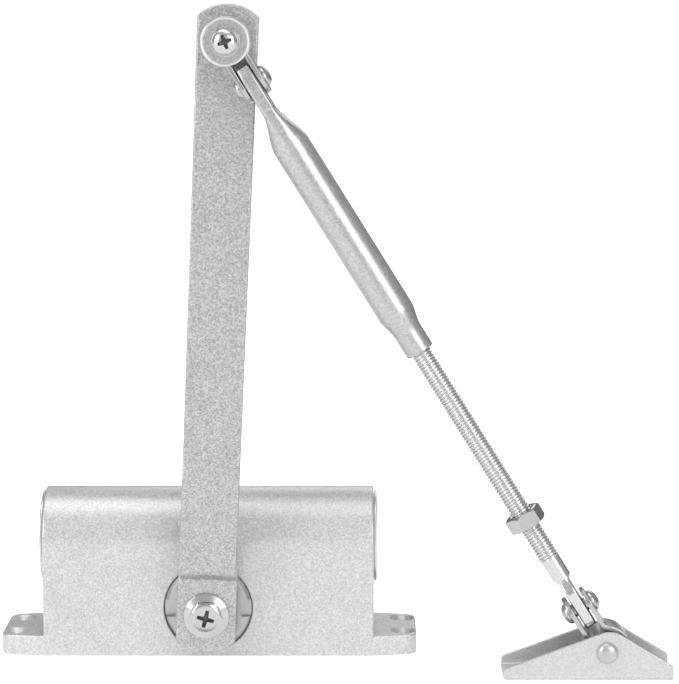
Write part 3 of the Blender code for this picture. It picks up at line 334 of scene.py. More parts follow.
def carve(shape, tools, operation="DIFFERENCE"):
    """Cuts the tools from a shape, or joins them to it. The shapes given are used up."""
    blanks = [loose_object(bm) for bm in [shape] + list(tools)]
    for tool in blanks[1:]:
        cut = blanks[0].modifiers.new("carve", "BOOLEAN")
        cut.operation = operation
        cut.solver = "EXACT"
        cut.object = tool
    mesh = evaluated_mesh(blanks[0])
    for blank in blanks:
        bpy.data.objects.remove(blank)
    bm = bmesh.new()
    bm.from_mesh(mesh)
    bpy.data.meshes.remove(mesh)
    bmesh.ops.remove_doubles(bm, verts=bm.verts, dist=1e-4)
    bmesh.ops.dissolve_degenerate(bm, edges=bm.edges, dist=1e-5)
    return bm


def finished(bm, name, metal, place=UPRIGHT, sharp=32):
    """The piece itself: in metres and in place, smooth up to the sharp angle, flat faces kept flat."""
    bm.transform(Matrix.Scale(MM, 4) @ place)
    blank = loose_object(bm)
    blank.data.shade_smooth()
    blank.data.set_sharp_from_angle(angle=math.radians(sharp))
    evening = blank.modifiers.new("even", "WEIGHTED_NORMAL")
    evening.keep_sharp = True
    evening.weight = 100
    mesh = evaluated_mesh(blank)
    bpy.data.objects.remove(blank)
    mesh.name = name
    mesh.materials.clear()
    mesh.materials.append(metal)
    piece = bpy.data.objects.new(name, mesh)
    scene.collection.objects.link(piece)
    return piece


def fit(piece, body, slot, *nodes):
    """The piece moves with a body and stands for the CAD nodes named. The slot is not used."""
    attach(piece, body)
    if nodes:
        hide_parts(*nodes)


def new_group(name, inputs, outputs):
    """A shader node group with named sockets: (name, kind, default) in, (name, kind) out."""
    group = bpy.data.node_groups.new(name, "ShaderNodeTree")
    for label, kind, value in inputs:
        socket = group.interface.new_socket(label, in_out="INPUT", socket_type=f"NodeSocket{kind}")
        socket.default_value = value
    for label, kind in outputs:
        group.interface.new_socket(label, in_out="OUTPUT", socket_type=f"NodeSocket{kind}")
    return group, group.nodes.new("NodeGroupInput"), group.nodes.new("NodeGroupOutput")


def noise(tree, where, scale, detail):
    """Soft noise from 0 to 1."""
    settings = {"Vector": where, "Scale": scale, "Detail": detail}
    return add_node(tree, "ShaderNodeTexNoise", settings).outputs[0]


def bumps(tree, height, strength, distance):
    """The surface's normal, tilted to follow a height."""
    settings = {"Strength": strength, "Distance": distance, "Height": height}
    return add_node(tree, "ShaderNodeBump", settings).outputs["Normal"]


# Metallic paint: bright and dark flakes in a thin coat, over a fine pebbled surface
flakes, flakes_in, flakes_out = new_group(
    "metal_flakes",
    (
        ("Dark", "Color", (0.5, 0.5, 0.5, 1)),
        ("Light", "Color", (0.8, 0.8, 0.8, 1)),
        ("Flakes per Metre", "Float", 2200.0),
        ("Roughness", "Float", 0.4),
        ("Spread", "Float", 0.1),
    ),
    (("Color", "Color"), ("Roughness", "Float"), ("Height", "Float")),
)
where = add_node(flakes, "ShaderNodeTexCoord").outputs["Object"]
per_metre = flakes_in.outputs["Flakes per Metre"]
cells = add_node(flakes, "ShaderNodeTexVoronoi", {"Vector": where, "Scale": per_metre})
flake = add_node(flakes, "ShaderNodeSeparateColor", {0: cells.outputs["Color"]}).outputs[0]
clouds = noise(flakes, where, math_node(flakes, "MULTIPLY", per_metre, 0.7), 3.0)
drift = noise(flakes, where, 60.0, 2.0)
mixed = math_node(flakes, "MULTIPLY_ADD", clouds, 0.5, math_node(flakes, "MULTIPLY", flake, 0.7))
mixed = math_node(flakes, "MULTIPLY_ADD", drift, 0.15, math_node(flakes, "SUBTRACT", mixed, 0.175))
mixed = add_node(flakes, "ShaderNodeClamp", {0: mixed}).outputs[0]
tones = {0: mixed, 6: flakes_in.outputs["Dark"], 7: flakes_in.outputs["Light"]}
coat_colour = add_node(flakes, "ShaderNodeMix", tones, data_type="RGBA").outputs[2]
off_middle = math_node(flakes, "SUBTRACT", flake, 0.5)
spread, middle_rough = flakes_in.outputs["Spread"], flakes_in.outputs["Roughness"]
coat_rough = math_node(flakes, "MULTIPLY_ADD", off_middle, spread, middle_rough)
feed(flakes, flakes_out, {"Color": coat_colour, "Roughness": coat_rough, "Height": clouds})


def silver_paint(name, dark, light, roughness, metallic, bump):
    """Metallic silver paint between two greys."""
    paint, tree, shader = new_material(name)
    greys = {"Dark": (dark, dark, dark, 1), "Light": (light, light, light, 1)}
    coat = add_node(tree, "ShaderNodeGroup", {**greys, "Roughness": roughness}, node_tree=flakes)
    feed(tree, shader, {"Metallic": metallic, "Coat Weight": 0.12, "Coat Roughness": 0.35})
    feed(tree, shader, {"Base Color": coat.outputs["Color"], "Roughness": coat.outputs["Roughness"]})
    feed(tree, shader, {"Normal": bumps(tree, coat.outputs["Height"], bump, 0.0001)})
    return paint


casting_paint = silver_paint("casting_paint", 0.50, 0.86, 0.42, 0.72, 0.45)

body_low, body_high = box_mm("body_casting")
plug_low, plug_high = box_mm("end_plug_right")
SPINDLE = pivot_mm("spindle_turn")
half_thickness = (body_high.y - body_low.y) / 2
bore_z = body_high.z - half_thickness
half_length = plug_low.x + PLUG_SEAT_DEPTH - SEAT_CLEARANCE


def casting_section(x, by):
    """The casting cut across, moved inwards: a flat foot, two flat sides and the round crown."""
    half = half_thickness - by
    sides = [(-half, bore_z), (-half, by, CASTING_FOOT_EDGE)]
    sides += [(half, by, CASTING_FOOT_EDGE), (half, bore_z)]
    outline = eased(sides) + list(sweep((0.0, bore_z), half, 0, 180, 48))[1:-1]
    return [(x, y, z) for y, z in outline]


edge = [(half_length - CASTING_EDGE * (1 - c), CASTING_EDGE * (1 - s)) for s, c in quarter_round(4)]
sections = [casting_section(-x, by) for x, by in edge]
sections += [casting_section(x, by) for x, by in reversed(edge)]
casting = skin(sections)

lugs = []
mount_holes = []
for side in (-1, 1):
    root, end = half_length - LUG_OVERLAP, body_high.x
    wide, narrow = half_thickness - 0.1, half_thickness - LUG_TAPER
    lug = [(root, -wide), (half_length, -wide), (end, -narrow, LUG_CORNER), (end, narrow, LUG_CORNER)]
    lug += [(half_length, wide), (root, wide)]
    turned_round = UPRIGHT if side > 0 else Matrix.Rotation(math.pi, 4, "Z")
    lugs.append(placed(slab(eased(lug, 6), 0, LUG_THICKNESS, 0.3, LUG_EDGE), turned_round))
    for across in (-1, 1):
        hole = lathe(
            [
                (0.0, LUG_THICKNESS + PAST),
                (COUNTERSINK + PAST, LUG_THICKNESS + PAST),
                (MOUNT_HOLE, LUG_THICKNESS - COUNTERSINK + MOUNT_HOLE),
                (MOUNT_HOLE, -PAST),
                (0.0, -PAST),
            ],
            steps=40,
        )
        spot = (side * (end - MOUNT_HOLE_FROM_END), across * MOUNT_HOLE_Y, 0)
        mount_holes.append(placed(hole, Matrix.Translation(spot)))
casting = carve(casting, lugs, "UNION")


def drill(*steps_in, steps=64):
    """A stepped cutter from (radius, from, to) lengths that run on from each other."""
    profile = [(0.0, steps_in[0][1])]
    for radius, start, end in steps_in:
        profile += [(radius, start), (radius, end)]
    profile.append((0.0, steps_in[-1][2]))
    return lathe(profile, steps=steps)


def chamfered_seat(radius, floor, face):
    """A round seat with a small chamfer at its mouth."""
    mouth = [(radius, face - SEAT_LIP), (radius + SEAT_LIP + PAST, face + PAST), (0, face + PAST)]
    return lathe([(0, floor), (radius, floor)] + mouth, steps=96)


nut_low, nut_high = box_mm("bearing_nut_front")
nut_radius = (nut_high.x - nut_low.x) / 2
seats = []
for side in (-1, 1):
    along_bore = axes((0, 0, bore_z), (0, 1, 0), (side, 0, 0))
    plug_seat = drill((PLUG_SEAT_RADIUS, half_length - PLUG_SEAT_DEPTH, half_length + PAST))
    seats.append(placed(plug_seat, along_bore))
    seats.append(placed(drill((BORE, -1, half_length)), along_bore))
    across = axes((SPINDLE.x, 0, SPINDLE.z), (1, 0, 0), (0, side, 0))
    seats.append(placed(chamfered_seat(nut_radius + SEAT_CLEARANCE, NUT_SEAT_Y, half_thickness), across))
    seats.append(placed(drill((CHAMBER, -1, NUT_SEAT_Y + 1)), across))
    valve = axes((half_length, side * VALVE_Y, VALVE_Z), (0, 1, 0), (1, 0, 0))
    seats.append(placed(drill((VALVE_HOLE, -VALVE_HOLE_DEPTH, 1), steps=32), valve))
casting = carve(casting, mount_holes + seats)
body_shell = finished(casting, "body_shell", casting_paint)
fit(body_shell, "closer_body", "body_casting", "body_casting")

# ------------------------------------------------------------------------------------------------
# End plugs. Two turned steel plugs, zinc plated, screw into the ends of the bore against an O-ring.
# Each has a thin flange that lies on the casting, and a hexagon socket for the key that turns it.

PLUG_FLANGE_EDGE = 0.45
PLUG_GROOVE_RADIUS = 15.3
PLUG_SOCKET = 8.0
PLUG_SOCKET_DEPTH = 5.0
PLUG_SOCKET_LEAD = 1.0
PLUG_GROOVE = (2.2, 4.6)

# Fine concentric lines that a turning tool leaves. The vector comes in centred, with the axis on Z.
turning, turning_in, turning_out = new_group(
    "turning_lines",
    (("Vector", "Vector", (0, 0, 0)), ("Lines per Metre", "Float", 5000.0)),
    (("Lines", "Float"), ("Smudge", "Float")),
)
flattened = {0: turning_in.outputs["Vector"], 1: (1, 1, 0)}
across_axis = add_node(turning, "ShaderNodeVectorMath", flattened, operation="MULTIPLY").outputs[0]
from_axis = add_node(turning, "ShaderNodeVectorMath", {0: across_axis}, operation="LENGTH")
ripple = add_node(turning, "ShaderNodeCombineXYZ", {0: from_axis.outputs["Value"]}).outputs[0]
lines = noise(turning, ripple, turning_in.outputs["Lines per Metre"], 2.0)
smudge = noise(turning, turning_in.outputs["Vector"], 140.0, 4.0)
feed(turning, turning_out, {"Lines": lines, "Smudge": smudge})


def marked_metal(name, marking, darkest, uneven, grey, roughness, place, bump, tint):
    """Bare or plated metal with a tool's marks, which a shader group draws round the place given."""
    metal, tree, shader = new_material(name)
    where = add_node(tree, "ShaderNodeTexCoord").outputs["Object"]
    seat = {"Vector": where, "Location": place.to_translation() * MM, "Rotation": place.to_euler()}
    centred = add_node(tree, "ShaderNodeMapping", seat, vector_type="TEXTURE").outputs[0]
    marks = add_node(tree, "ShaderNodeGroup", {"Vector": centred}, node_tree=marking)
    lit = [grey * channel for channel in tint]
    colours = two_tones(tree, marks.outputs["Lines"], [darkest * channel for channel in lit], lit)
    rough = math_node(tree, "MULTIPLY_ADD", marks.outputs["Smudge"], uneven, roughness - uneven / 2)
    grooves = bumps(tree, marks.outputs["Lines"], bump, 0.00005)
    feed(tree, shader, {"Metallic": 1.0, "Base Color": colours, "Roughness": rough, "Normal": grooves})
    return metal


def turned_metal(name, grey, roughness, place, bump=0.12, tint=(1.0, 1.0, 1.0)):
    """Metal with turning lines round the Z axis of the place given."""
    return marked_metal(name, turning, 0.86, 0.16, grey, roughness, place, bump, tint)


def hexagon(across_flats, turn=0.0):
    """A hexagon's outline, with a corner at the angle given."""
    return list(sweep((0, 0), across_flats / math.sqrt(3), turn, turn + 300, 5))


plug_face = plug_high.x - half_length
flange_radius = (plug_high.y - plug_low.y) / 2
shank_radius = PLUG_SEAT_RADIUS - SEAT_CLEARANCE
plug_back = SEAT_CLEARANCE - PLUG_SEAT_DEPTH
plug_profile = eased(
    [
        (0.0, plug_face),
        (flange_radius, plug_face, PLUG_FLANGE_EDGE),
        (flange_radius, SEAT_CLEARANCE, 0.15),
        (shank_radius, SEAT_CLEARANCE),
        (shank_radius, plug_back + PLUG_GROOVE[1]),
        (PLUG_GROOVE_RADIUS, plug_back + PLUG_GROOVE[1]),
        (PLUG_GROOVE_RADIUS, plug_back + PLUG_GROOVE[0]),
        (shank_radius, plug_back + PLUG_GROOVE[0]),
        (shank_radius, plug_back, 0.5),
        (0.0, plug_back),
    ],
    closed=False,
)
for side, hand in ((-1, "left"), (1, "right")):
    mouth = axes((side * half_length, 0, bore_z), (0, side, 0), (side, 0, 0))
    socket = hexagon(PLUG_SOCKET * math.sqrt(3))
    socket = slab(socket, SEAT_CLEARANCE - PLUG_SOCKET_DEPTH, plug_face + PAST)
    lead_floor = plug_face - PLUG_SOCKET_LEAD
    lead = [(0, lead_floor), (PLUG_SOCKET - 0.9, lead_floor)]
    lead += [(PLUG_SOCKET + 1.4, plug_face + PAST), (0, plug_face + PAST)]
    plug = carve(lathe(plug_profile, 96), [socket, lathe(lead)])
    plug_zinc = turned_metal(f"{hand}_plug_zinc", 0.80, 0.34, mouth)
    plug = finished(plug, f"{hand}_end_plug", plug_zinc, mouth)
    fit(plug, "closer_body", "bright_zinc", f"end_plug_{hand}")

# ------------------------------------------------------------------------------------------------
# Bearing nuts. A turned steel nut on each side of the casting carries the spindle's bush and seal.
# Two slots across its face take the pin spanner that screws it in.

NUT_CHAMFER = 1.5
NUT_SLEEVE_RADIUS = 12.4
NUT_SLEEVE_END = 10.6
NUT_POCKET_RADIUS = 11.4
NUT_POCKET_END = 19.3
SHAFT_HOLE = 8.3
SPANNER_SLOT = 6.7
SPANNER_SLOT_DEPTH = 2.4
SPANNER_SLOT_START = 12.6

nut_face = -nut_low.y
nut_profile = eased(
    [
        (SHAFT_HOLE, nut_face, 0.4),
        (nut_radius - NUT_CHAMFER, nut_face, 0.3),
        (nut_radius, nut_face - NUT_CHAMFER, 0.3),
        (nut_radius, NUT_SEAT_Y + SEAT_CLEARANCE),
        (NUT_SLEEVE_RADIUS, NUT_SEAT_Y + SEAT_CLEARANCE),
        (NUT_SLEEVE_RADIUS, NUT_SLEEVE_END),
        (NUT_POCKET_RADIUS, NUT_SLEEVE_END),
        (NUT_POCKET_RADIUS, NUT_POCKET_END),
        (SHAFT_HOLE, NUT_POCKET_END),
    ]
)
for side, name in ((-1, "front"), (1, "rear")):
    mouth = axes(SPINDLE, (-side, 0, 0), (0, side, 0))
    slots = []
    for across in (-1, 1):
        half = SPANNER_SLOT / 2
        slot = [(SPANNER_SLOT_START, -half, 0.8), (20, -half)]
        slot += [(20, half), (SPANNER_SLOT_START, half, 0.8)]
        slot = slab(eased(slot), nut_face - SPANNER_SLOT_DEPTH, nut_face + PAST)
        slots.append(placed(slot, Matrix.Rotation(math.pi * (across > 0), 4, "Z")))
    nut = carve(lathe(nut_profile, 96, ring=True), slots)
    nut_steel = turned_metal(f"{name}_nut_steel", 0.60, 0.36, mouth)
    nut = finished(nut, f"{name}_bearing_nut", nut_steel, mouth)
    fit(nut, "closer_body", "steel", f"bearing_nut_{name}")

# ------------------------------------------------------------------------------------------------
# Spindle. One hardened steel shaft with the pinion cut in its middle and a square at each end. The
# teeth are one involute tooth repeated round the shaft.

SHAFT_RADIUS = 8.0
SHOULDER_Y = 27.7
SQUARE_HALF = 5.2
SPINDLE_SCREW_HOLE = 3.2
SPINDLE_SCREW_HOLE_START = 17.0
MODULE = 1.75
TEETH = 12
PRESSURE_ANGLE = math.radians(25)
BACKLASH = 0.3
PINION_HALF_WIDTH = 8.0


def new_geometry_tree(name, inputs):
    """A Geometry Nodes tree with a mesh in, a mesh out, and named inputs for its sizes."""
    tree = bpy.data.node_groups.new(name, "GeometryNodeTree")
    tree.interface.new_socket("Geometry", in_out="INPUT", socket_type="NodeSocketGeometry")
    tree.interface.new_socket("Geometry", in_out="OUTPUT", socket_type="NodeSocketGeometry")
    for label, kind in inputs:
        tree.interface.new_socket(label, in_out="INPUT", socket_type=f"NodeSocket{kind}")
    return tree, tree.nodes.new("NodeGroupInput").outputs, tree.nodes.new("NodeGroupOutput").inputs


def grown(tree, shape, **sizes):
    """The shape that a tree makes from a starting one. A size is named as its input, with _ for spaces."""
    blank = loose_object(shape)
    modifier = blank.modifiers.new(tree.name, "NODES")
    modifier.node_group = tree
    for socket in tree.interface.items_tree:
        if socket.in_out == "INPUT" and socket.socket_type != "NodeSocketGeometry":
            modifier[socket.identifier] = sizes[socket.name.lower().replace(" ", "_")]
    mesh = evaluated_mesh(blank)
    bpy.data.objects.remove(blank)
    bm = bmesh.new()
    bm.from_mesh(mesh)
    bpy.data.meshes.remove(mesh)
    return bm


def copies_round(tree, shape, count, axis):
    """A shape repeated evenly round one of its own axes: 0, 1 or 2."""
    spots = add_node(tree, "GeometryNodeMeshLine", {"Count": count, "Offset": (0, 0, 0)}).outputs[0]
    number = add_node(tree, "GeometryNodeInputIndex").outputs[0]
    angle = math_node(tree, "DIVIDE", math_node(tree, "MULTIPLY", number, 2 * math.pi), count)
    turned = add_node(tree, "ShaderNodeCombineXYZ", {axis: angle}).outputs[0]
    copies = {"Points": spots, "Instance": shape, "Rotation": turned}
    return add_node(tree, "GeometryNodeInstanceOnPoints", copies).outputs[0]


def end_in_metal(tree, shape, metal, result):
    """Ends a tree: its shape is made real, and takes a metal."""
    real = add_node(tree, "GeometryNodeRealizeInstances", {0: shape}).outputs[0]
    coated = add_node(tree, "GeometryNodeSetMaterial", {"Geometry": real, "Material": metal})
    tree.links.new(coated.outputs[0], result[0])


def square(half, corner):
    """A square's outline with rounded corners."""
    return eased([(x * half, y * half, corner) for x, y in ((-1, -1), (1, -1), (1, 1), (-1, 1))])


tooth_sizes = (("Teeth", "Int"), ("Metal", "Material"))
teeth_round, inputs, result = new_geometry_tree("teeth_round_shaft", tooth_sizes)
copies = copies_round(teeth_round, inputs["Geometry"], inputs["Teeth"], 2)
end_in_metal(teeth_round, copies, inputs["Metal"], result)

pitch_radius = MODULE * TEETH / 2
base_radius = pitch_radius * math.cos(PRESSURE_ANGLE)
tip_radius = pitch_radius + MODULE
root_radius = pitch_radius - 1.25 * MODULE
half_tooth = math.pi / (2 * TEETH) + math.tan(PRESSURE_ANGLE) - PRESSURE_ANGLE
half_tooth -= BACKLASH / (4 * pitch_radius)
flank = [(root_radius - 1, half_tooth)]
for i in range(10):
    radius = base_radius + (tip_radius - base_radius) * i / 9
    roll = math.acos(min(1.0, base_radius / radius))
    flank.append((radius, half_tooth - (math.tan(roll) - roll)))
tooth = [(radius * math.cos(-angle), radius * math.sin(-angle)) for radius, angle in flank]
tooth += [(x, -y) for x, y in reversed(tooth)]
spindle_place = axes(SPINDLE, (1, 0, 0), (0, 1, 0))
spindle_steel = turned_metal("spindle_steel", 0.62, 0.32, spindle_place)
tooth = slab(tooth, -PINION_HALF_WIDTH, PINION_HALF_WIDTH, 0.2, 0.2, steps=2)
teeth = grown(teeth_round, tooth, teeth=TEETH, metal=spindle_steel)

ELBOW = pivot_mm("elbow_turn")
arm_reach = Vector((ELBOW.x - SPINDLE.x, 0.0, ELBOW.z - SPINDLE.z))
ARM_LENGTH = arm_reach.length
ARM_UP = arm_reach.normalized()
ARM_RIGHT = Vector((ARM_UP.z, 0.0, -ARM_UP.x))
spindle_end = box_mm("pinion_spindle")[1].y
shaft = lathe(
    eased(
        [(0, SHOULDER_Y), (SHAFT_RADIUS, SHOULDER_Y, 0.6), (SHAFT_RADIUS, PINION_HALF_WIDTH)]
        + [(root_radius, PINION_HALF_WIDTH), (root_radius, -PINION_HALF_WIDTH)]
        + [(SHAFT_RADIUS, -PINION_HALF_WIDTH), (SHAFT_RADIUS, -SHOULDER_Y, 0.6), (0, -SHOULDER_Y)],
        closed=False,
    ),
    steps=72,
)
squares = slab(square(SQUARE_HALF, 0.7), -spindle_end, spindle_end, 0.5, 0.5)
squares = placed(squares, Matrix.Rotation(math.atan2(ARM_UP.x, ARM_UP.z), 4, "Z"))
first_tooth = Matrix.Rotation(math.radians(90), 4, "Z")
shaft = carve(shaft, [placed(teeth, first_tooth), squares], "UNION")
screw_holes = []
for side in (-1, 1):
    hole = lathe(
        [
            (0, SPINDLE_SCREW_HOLE_START),
            (SPINDLE_SCREW_HOLE, SPINDLE_SCREW_HOLE_START),
            (SPINDLE_SCREW_HOLE, spindle_end - 0.5),
            (SPINDLE_SCREW_HOLE + 1.5, spindle_end + PAST),
            (0, spindle_end + PAST),
        ],
        steps=40,
    )
    screw_holes.append(placed(hole, axes((0, 0, 0), (side, 0, 0), (0, 0, side))))
shaft = carve(shaft, screw_holes)
spindle = finished(shaft, "spindle_shaft", spindle_steel, spindle_place)
fit(spindle, "spindle", "steel", "pinion_spindle")

# ------------------------------------------------------------------------------------------------
# Inner works. A steel piston with a rack below slides in the oil against a coiled spring, and a ball
# in its head lets the oil back. Bronze bushes carry the spindle, and rubber rings seal the openings.

SPRING_WIRE = 1.8
SPRING_MEAN_RADIUS = 7.6
SPRING_TURNS = 9
SPRING_STEPS = 28
SPRING_START = -17.9
SPRING_CLOSED_CLIMB = 4.32


def round_point(tree, radius, angle, level):
    """A point at a radius and an angle about Z, and at a level."""
    x = math_node(tree, "MULTIPLY", radius, math_node(tree, "COSINE", angle))
    y = math_node(tree, "MULTIPLY", radius, math_node(tree, "SINE", angle))
    return add_node(tree, "ShaderNodeCombineXYZ", {0: x, 1: y, 2: level}).outputs[0]


coil, inputs, result = new_geometry_tree(
    "coiled_spring",
    (
        ("Turns", "Int"),
        ("Steps", "Int"),
        ("Mean Radius", "Float"),
        ("Wire Radius", "Float"),
        ("Closed Climb", "Float"),
        ("Open Climb", "Float"),
        ("Metal", "Material"),
    ),
)
count = math_node(coil, "MULTIPLY_ADD", inputs["Turns"], inputs["Steps"], 1.0)
line = add_node(coil, "GeometryNodeMeshLine", {"Count": count})
number = add_node(coil, "GeometryNodeInputIndex").outputs[0]
turn = math_node(coil, "DIVIDE", number, inputs["Steps"])
last_turn = math_node(coil, "SUBTRACT", inputs["Turns"], 1.0)
before_last = math_node(coil, "MINIMUM", turn, last_turn)
open_turns = math_node(coil, "MAXIMUM", math_node(coil, "SUBTRACT", before_last, 1.0), 0.0)
closed_turns = math_node(coil, "SUBTRACT", turn, open_turns)
climb = math_node(coil, "MULTIPLY", closed_turns, inputs["Closed Climb"])
climb = math_node(coil, "MULTIPLY_ADD", open_turns, inputs["Open Climb"], climb)
angle = math_node(coil, "MULTIPLY", turn, 2 * math.pi)
point = round_point(coil, inputs["Mean Radius"], angle, climb)
path = add_node(coil, "GeometryNodeSetPosition", {"Geometry": line.outputs[0], "Position": point})
path = add_node(coil, "GeometryNodeMeshToCurve", {"Mesh": path.outputs[0]}).outputs[0]
gauge = {"Resolution": 14, "Radius": inputs["Wire Radius"]}
round_wire = add_node(coil, "GeometryNodeCurvePrimitiveCircle", gauge).outputs[0]
winding = {"Curve": path, "Profile Curve": round_wire, "Fill Caps": True}
wire = add_node(coil, "GeometryNodeCurveToMesh", winding).outputs[0]
welded = add_node(coil, "GeometryNodeMergeByDistance", {"Geometry": wire, "Distance": 0.001}).outputs[0]
end_in_metal(coil, welded, inputs["Metal"], result)

bore_place = axes((0, 0, bore_z), (0, 1, 0), (1, 0, 0))
oiled_steel = turned_metal("oiled_spring_steel", 0.34, 0.30, bore_place)
spring_room = half_length - PLUG_SEAT_DEPTH - SPRING_WIRE - SPRING_START
spring = grown(
    coil,
    bmesh.new(),
    turns=SPRING_TURNS,
    steps=SPRING_STEPS,
    mean_radius=SPRING_MEAN_RADIUS,
    wire_radius=SPRING_WIRE,
    closed_climb=SPRING_CLOSED_CLIMB,
    open_climb=(spring_room - 2 * SPRING_CLOSED_CLIMB) / (SPRING_TURNS - 2),
    metal=oiled_steel,
)
spring_place = axes((SPRING_START, 0, bore_z), (0, 1, 0), (1, 0, 0))
spring = finished(spring, "coiled_spring", oiled_steel, spring_place, sharp=50)
fit(spring, "closer_body", "spring_steel", "closing_spring")
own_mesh(spring)


def blotchy(name, scale, detail, dark, light):
    """A material that drifts between two tones, with its tree, its shader and the noise."""
    material, tree, shader = new_material(name)
    blotches = noise(tree, add_node(tree, "ShaderNodeTexCoord").outputs["Object"], scale, detail)
    feed(tree, shader, {"Base Color": two_tones(tree, blotches, dark, light)})
    return material, tree, shader, blotches


rubber, rubber_tree, rubber_shader, bloom = blotchy(
    "black_rubber", 700.0, 4.0, (0.010, 0.010, 0.011), (0.035, 0.035, 0.036)
)
dull = math_node(rubber_tree, "MULTIPLY_ADD", bloom, 0.3, 0.45)
feed(rubber_tree, rubber_shader, {"Roughness": dull})
piston_steel = turned_metal("piston_steel", 0.45, 0.34, bore_place)
bronze = turned_metal("bronze", 0.72, 0.30, spindle_place, tint=(1.0, 0.72, 0.40))
brass = turned_metal("retainer_brass", 0.78, 0.28, bore_place, tint=(1.0, 0.80, 0.46))
ball_steel = turned_metal("ball_steel", 0.70, 0.12, bore_place, bump=0.02)
for metal, nodes in (
    (piston_steel, ("piston",)),
    (brass, ("check_valve_retainer",)),
    (ball_steel, ("check_valve_ball",)),
    (bronze, ("spindle_bush_front", "spindle_bush_rear")),
    (rubber, ("spindle_seal_front", "spindle_seal_rear", "end_plug_seal_left", "end_plug_seal_right")),
    (rubber, ("closing_valve_seal", "latching_valve_seal")),
):
    for node in nodes:
        kept = frame["nodes"][node].data
        kept.materials.clear()
        kept.materials.append(metal)

# ------------------------------------------------------------------------------------------------
# Regulating screws. Two small turned needles under the right-hand plug set the closing and latching
# speeds. Each has a slot for a screwdriver and a groove for its sealing ring.

VALVE_RADIUS = 3.4
VALVE_SLOT_HALF = 0.5
VALVE_SLOT_DEPTH = 1.4
VALVE_GROOVE_RADIUS = 2.3
VALVE_GROOVE = (58.8, 60.6)
VALVE_SHANK_START = 50.8
NEEDLE_RADIUS = 1.5
NEEDLE_START = 46.8
NEEDLE_POINT_RADIUS = 0.6

for node in ("closing_speed_valve", "latching_speed_valve"):
    valve_low, valve_high = box_mm(node)
    valve_head = valve_high.x
    middle = (valve_low + valve_high) / 2
    valve_place = axes((0, middle.y, middle.z), (0, 1, 0), (1, 0, 0))
    needle = lathe(
        eased(
            [
                (0, valve_head),
                (VALVE_RADIUS, valve_head, 0.3),
                (VALVE_RADIUS, VALVE_GROOVE[1], 0.1),
                (VALVE_GROOVE_RADIUS, VALVE_GROOVE[1]),
                (VALVE_GROOVE_RADIUS, VALVE_GROOVE[0]),
                (VALVE_RADIUS, VALVE_GROOVE[0], 0.1),
                (VALVE_RADIUS, VALVE_SHANK_START, 0.3),
                (NEEDLE_RADIUS, NEEDLE_START),
                (NEEDLE_POINT_RADIUS, valve_low.x, 0.2),
                (0, valve_low.x),
            ],
            closed=False,
        ),
        steps=40,
    )
    slot = [(-5, -VALVE_SLOT_HALF), (5, -VALVE_SLOT_HALF), (5, VALVE_SLOT_HALF), (-5, VALVE_SLOT_HALF)]
    needle = carve(needle, [slab(slot, valve_head - VALVE_SLOT_DEPTH, valve_head + PAST)])
    valve_zinc = turned_metal(f"{node}_zinc", 0.66, 0.28, valve_place)
    needle = finished(needle, f"{node}_screw", valve_zinc, valve_place)
    fit(needle, node.replace("valve", "screw"), "bright_zinc", node)

# ------------------------------------------------------------------------------------------------
# Main arm. A flat steel bar, punched, bent forwards in a joggle and painted silver. Its head sits on
# the spindle's square and its other end carries the forearm.

ARM_THICKNESS = 4.5
ARM_HALF_WIDTH = 11.5
ARM_WAIST_HALF_WIDTH = 11.0
ARM_HEAD_REACH = 15.0
ARM_END_REACH = 13.9
ARM_END_RISE = 4.7
ARM_EDGE = 0.7
HEAD_BACK_Y = -28.0
MAIN_BACK_Y = -33.5
JOGGLE_MIDDLE = 17.2
JOGGLE_ANGLE = math.radians(60)
JOGGLE_RADIUS = 2.6
WAIST_Z = 22.0
ARM_SQUARE_HALF = 5.5
ELBOW_HOLE = 3.3


def crown(half_width, base, rise, steps=20):
    """A shallow arc from the right corner over to the left one."""
    radius = (half_width**2 + rise**2) / (2 * rise)
    half_angle = math.degrees(math.asin(half_width / radius))
    return list(sweep((0.0, base + rise - radius), radius, 90 - half_angle, 90 + half_angle, steps))


def bend(bm, start, runs):
    """Bends a flat blank that lies along Y, in the YZ plane. Each run is (length, angle)."""
    stations = []
    at, y, z, heading = start, 0.0, 0.0, 0.0
    for length, angle in runs:
        stations.append((at, length, angle, y, z, heading))
        cuts = max(1, math.ceil(abs(math.degrees(angle)) / 6))
        for i in range(cuts + 1):
            bmesh.ops.bisect_plane(
                bm,
                geom=bm.verts[:] + bm.edges[:] + bm.faces[:],
                dist=1e-5,
                plane_co=(0, at + length * i / cuts, 0),
                plane_no=(0, 1, 0),
            )
        if angle:
            radius = length / angle
            y += radius * (math.sin(heading + angle) - math.sin(heading))
            z += radius * (math.cos(heading) - math.cos(heading + angle))
        else:
            y += length * math.cos(heading)
            z += length * math.sin(heading)
        heading += angle
        at += length
    for vert in bm.verts:
        for at, length, angle, y, z, heading in reversed(stations):
            if vert.co.y >= at - 1e-4 or at == start:
                break
        along = vert.co.y - at
        if angle:
            radius = length / angle
            now = heading + along / radius
            y += radius * (math.sin(now) - math.sin(heading))
            z += radius * (math.cos(heading) - math.cos(now))
        else:
            now = heading
            y += along * math.cos(heading)
            z += along * math.sin(heading)
        vert.co = (vert.co.x, y - vert.co.z * math.sin(now), z + vert.co.z * math.cos(now))
    return bm


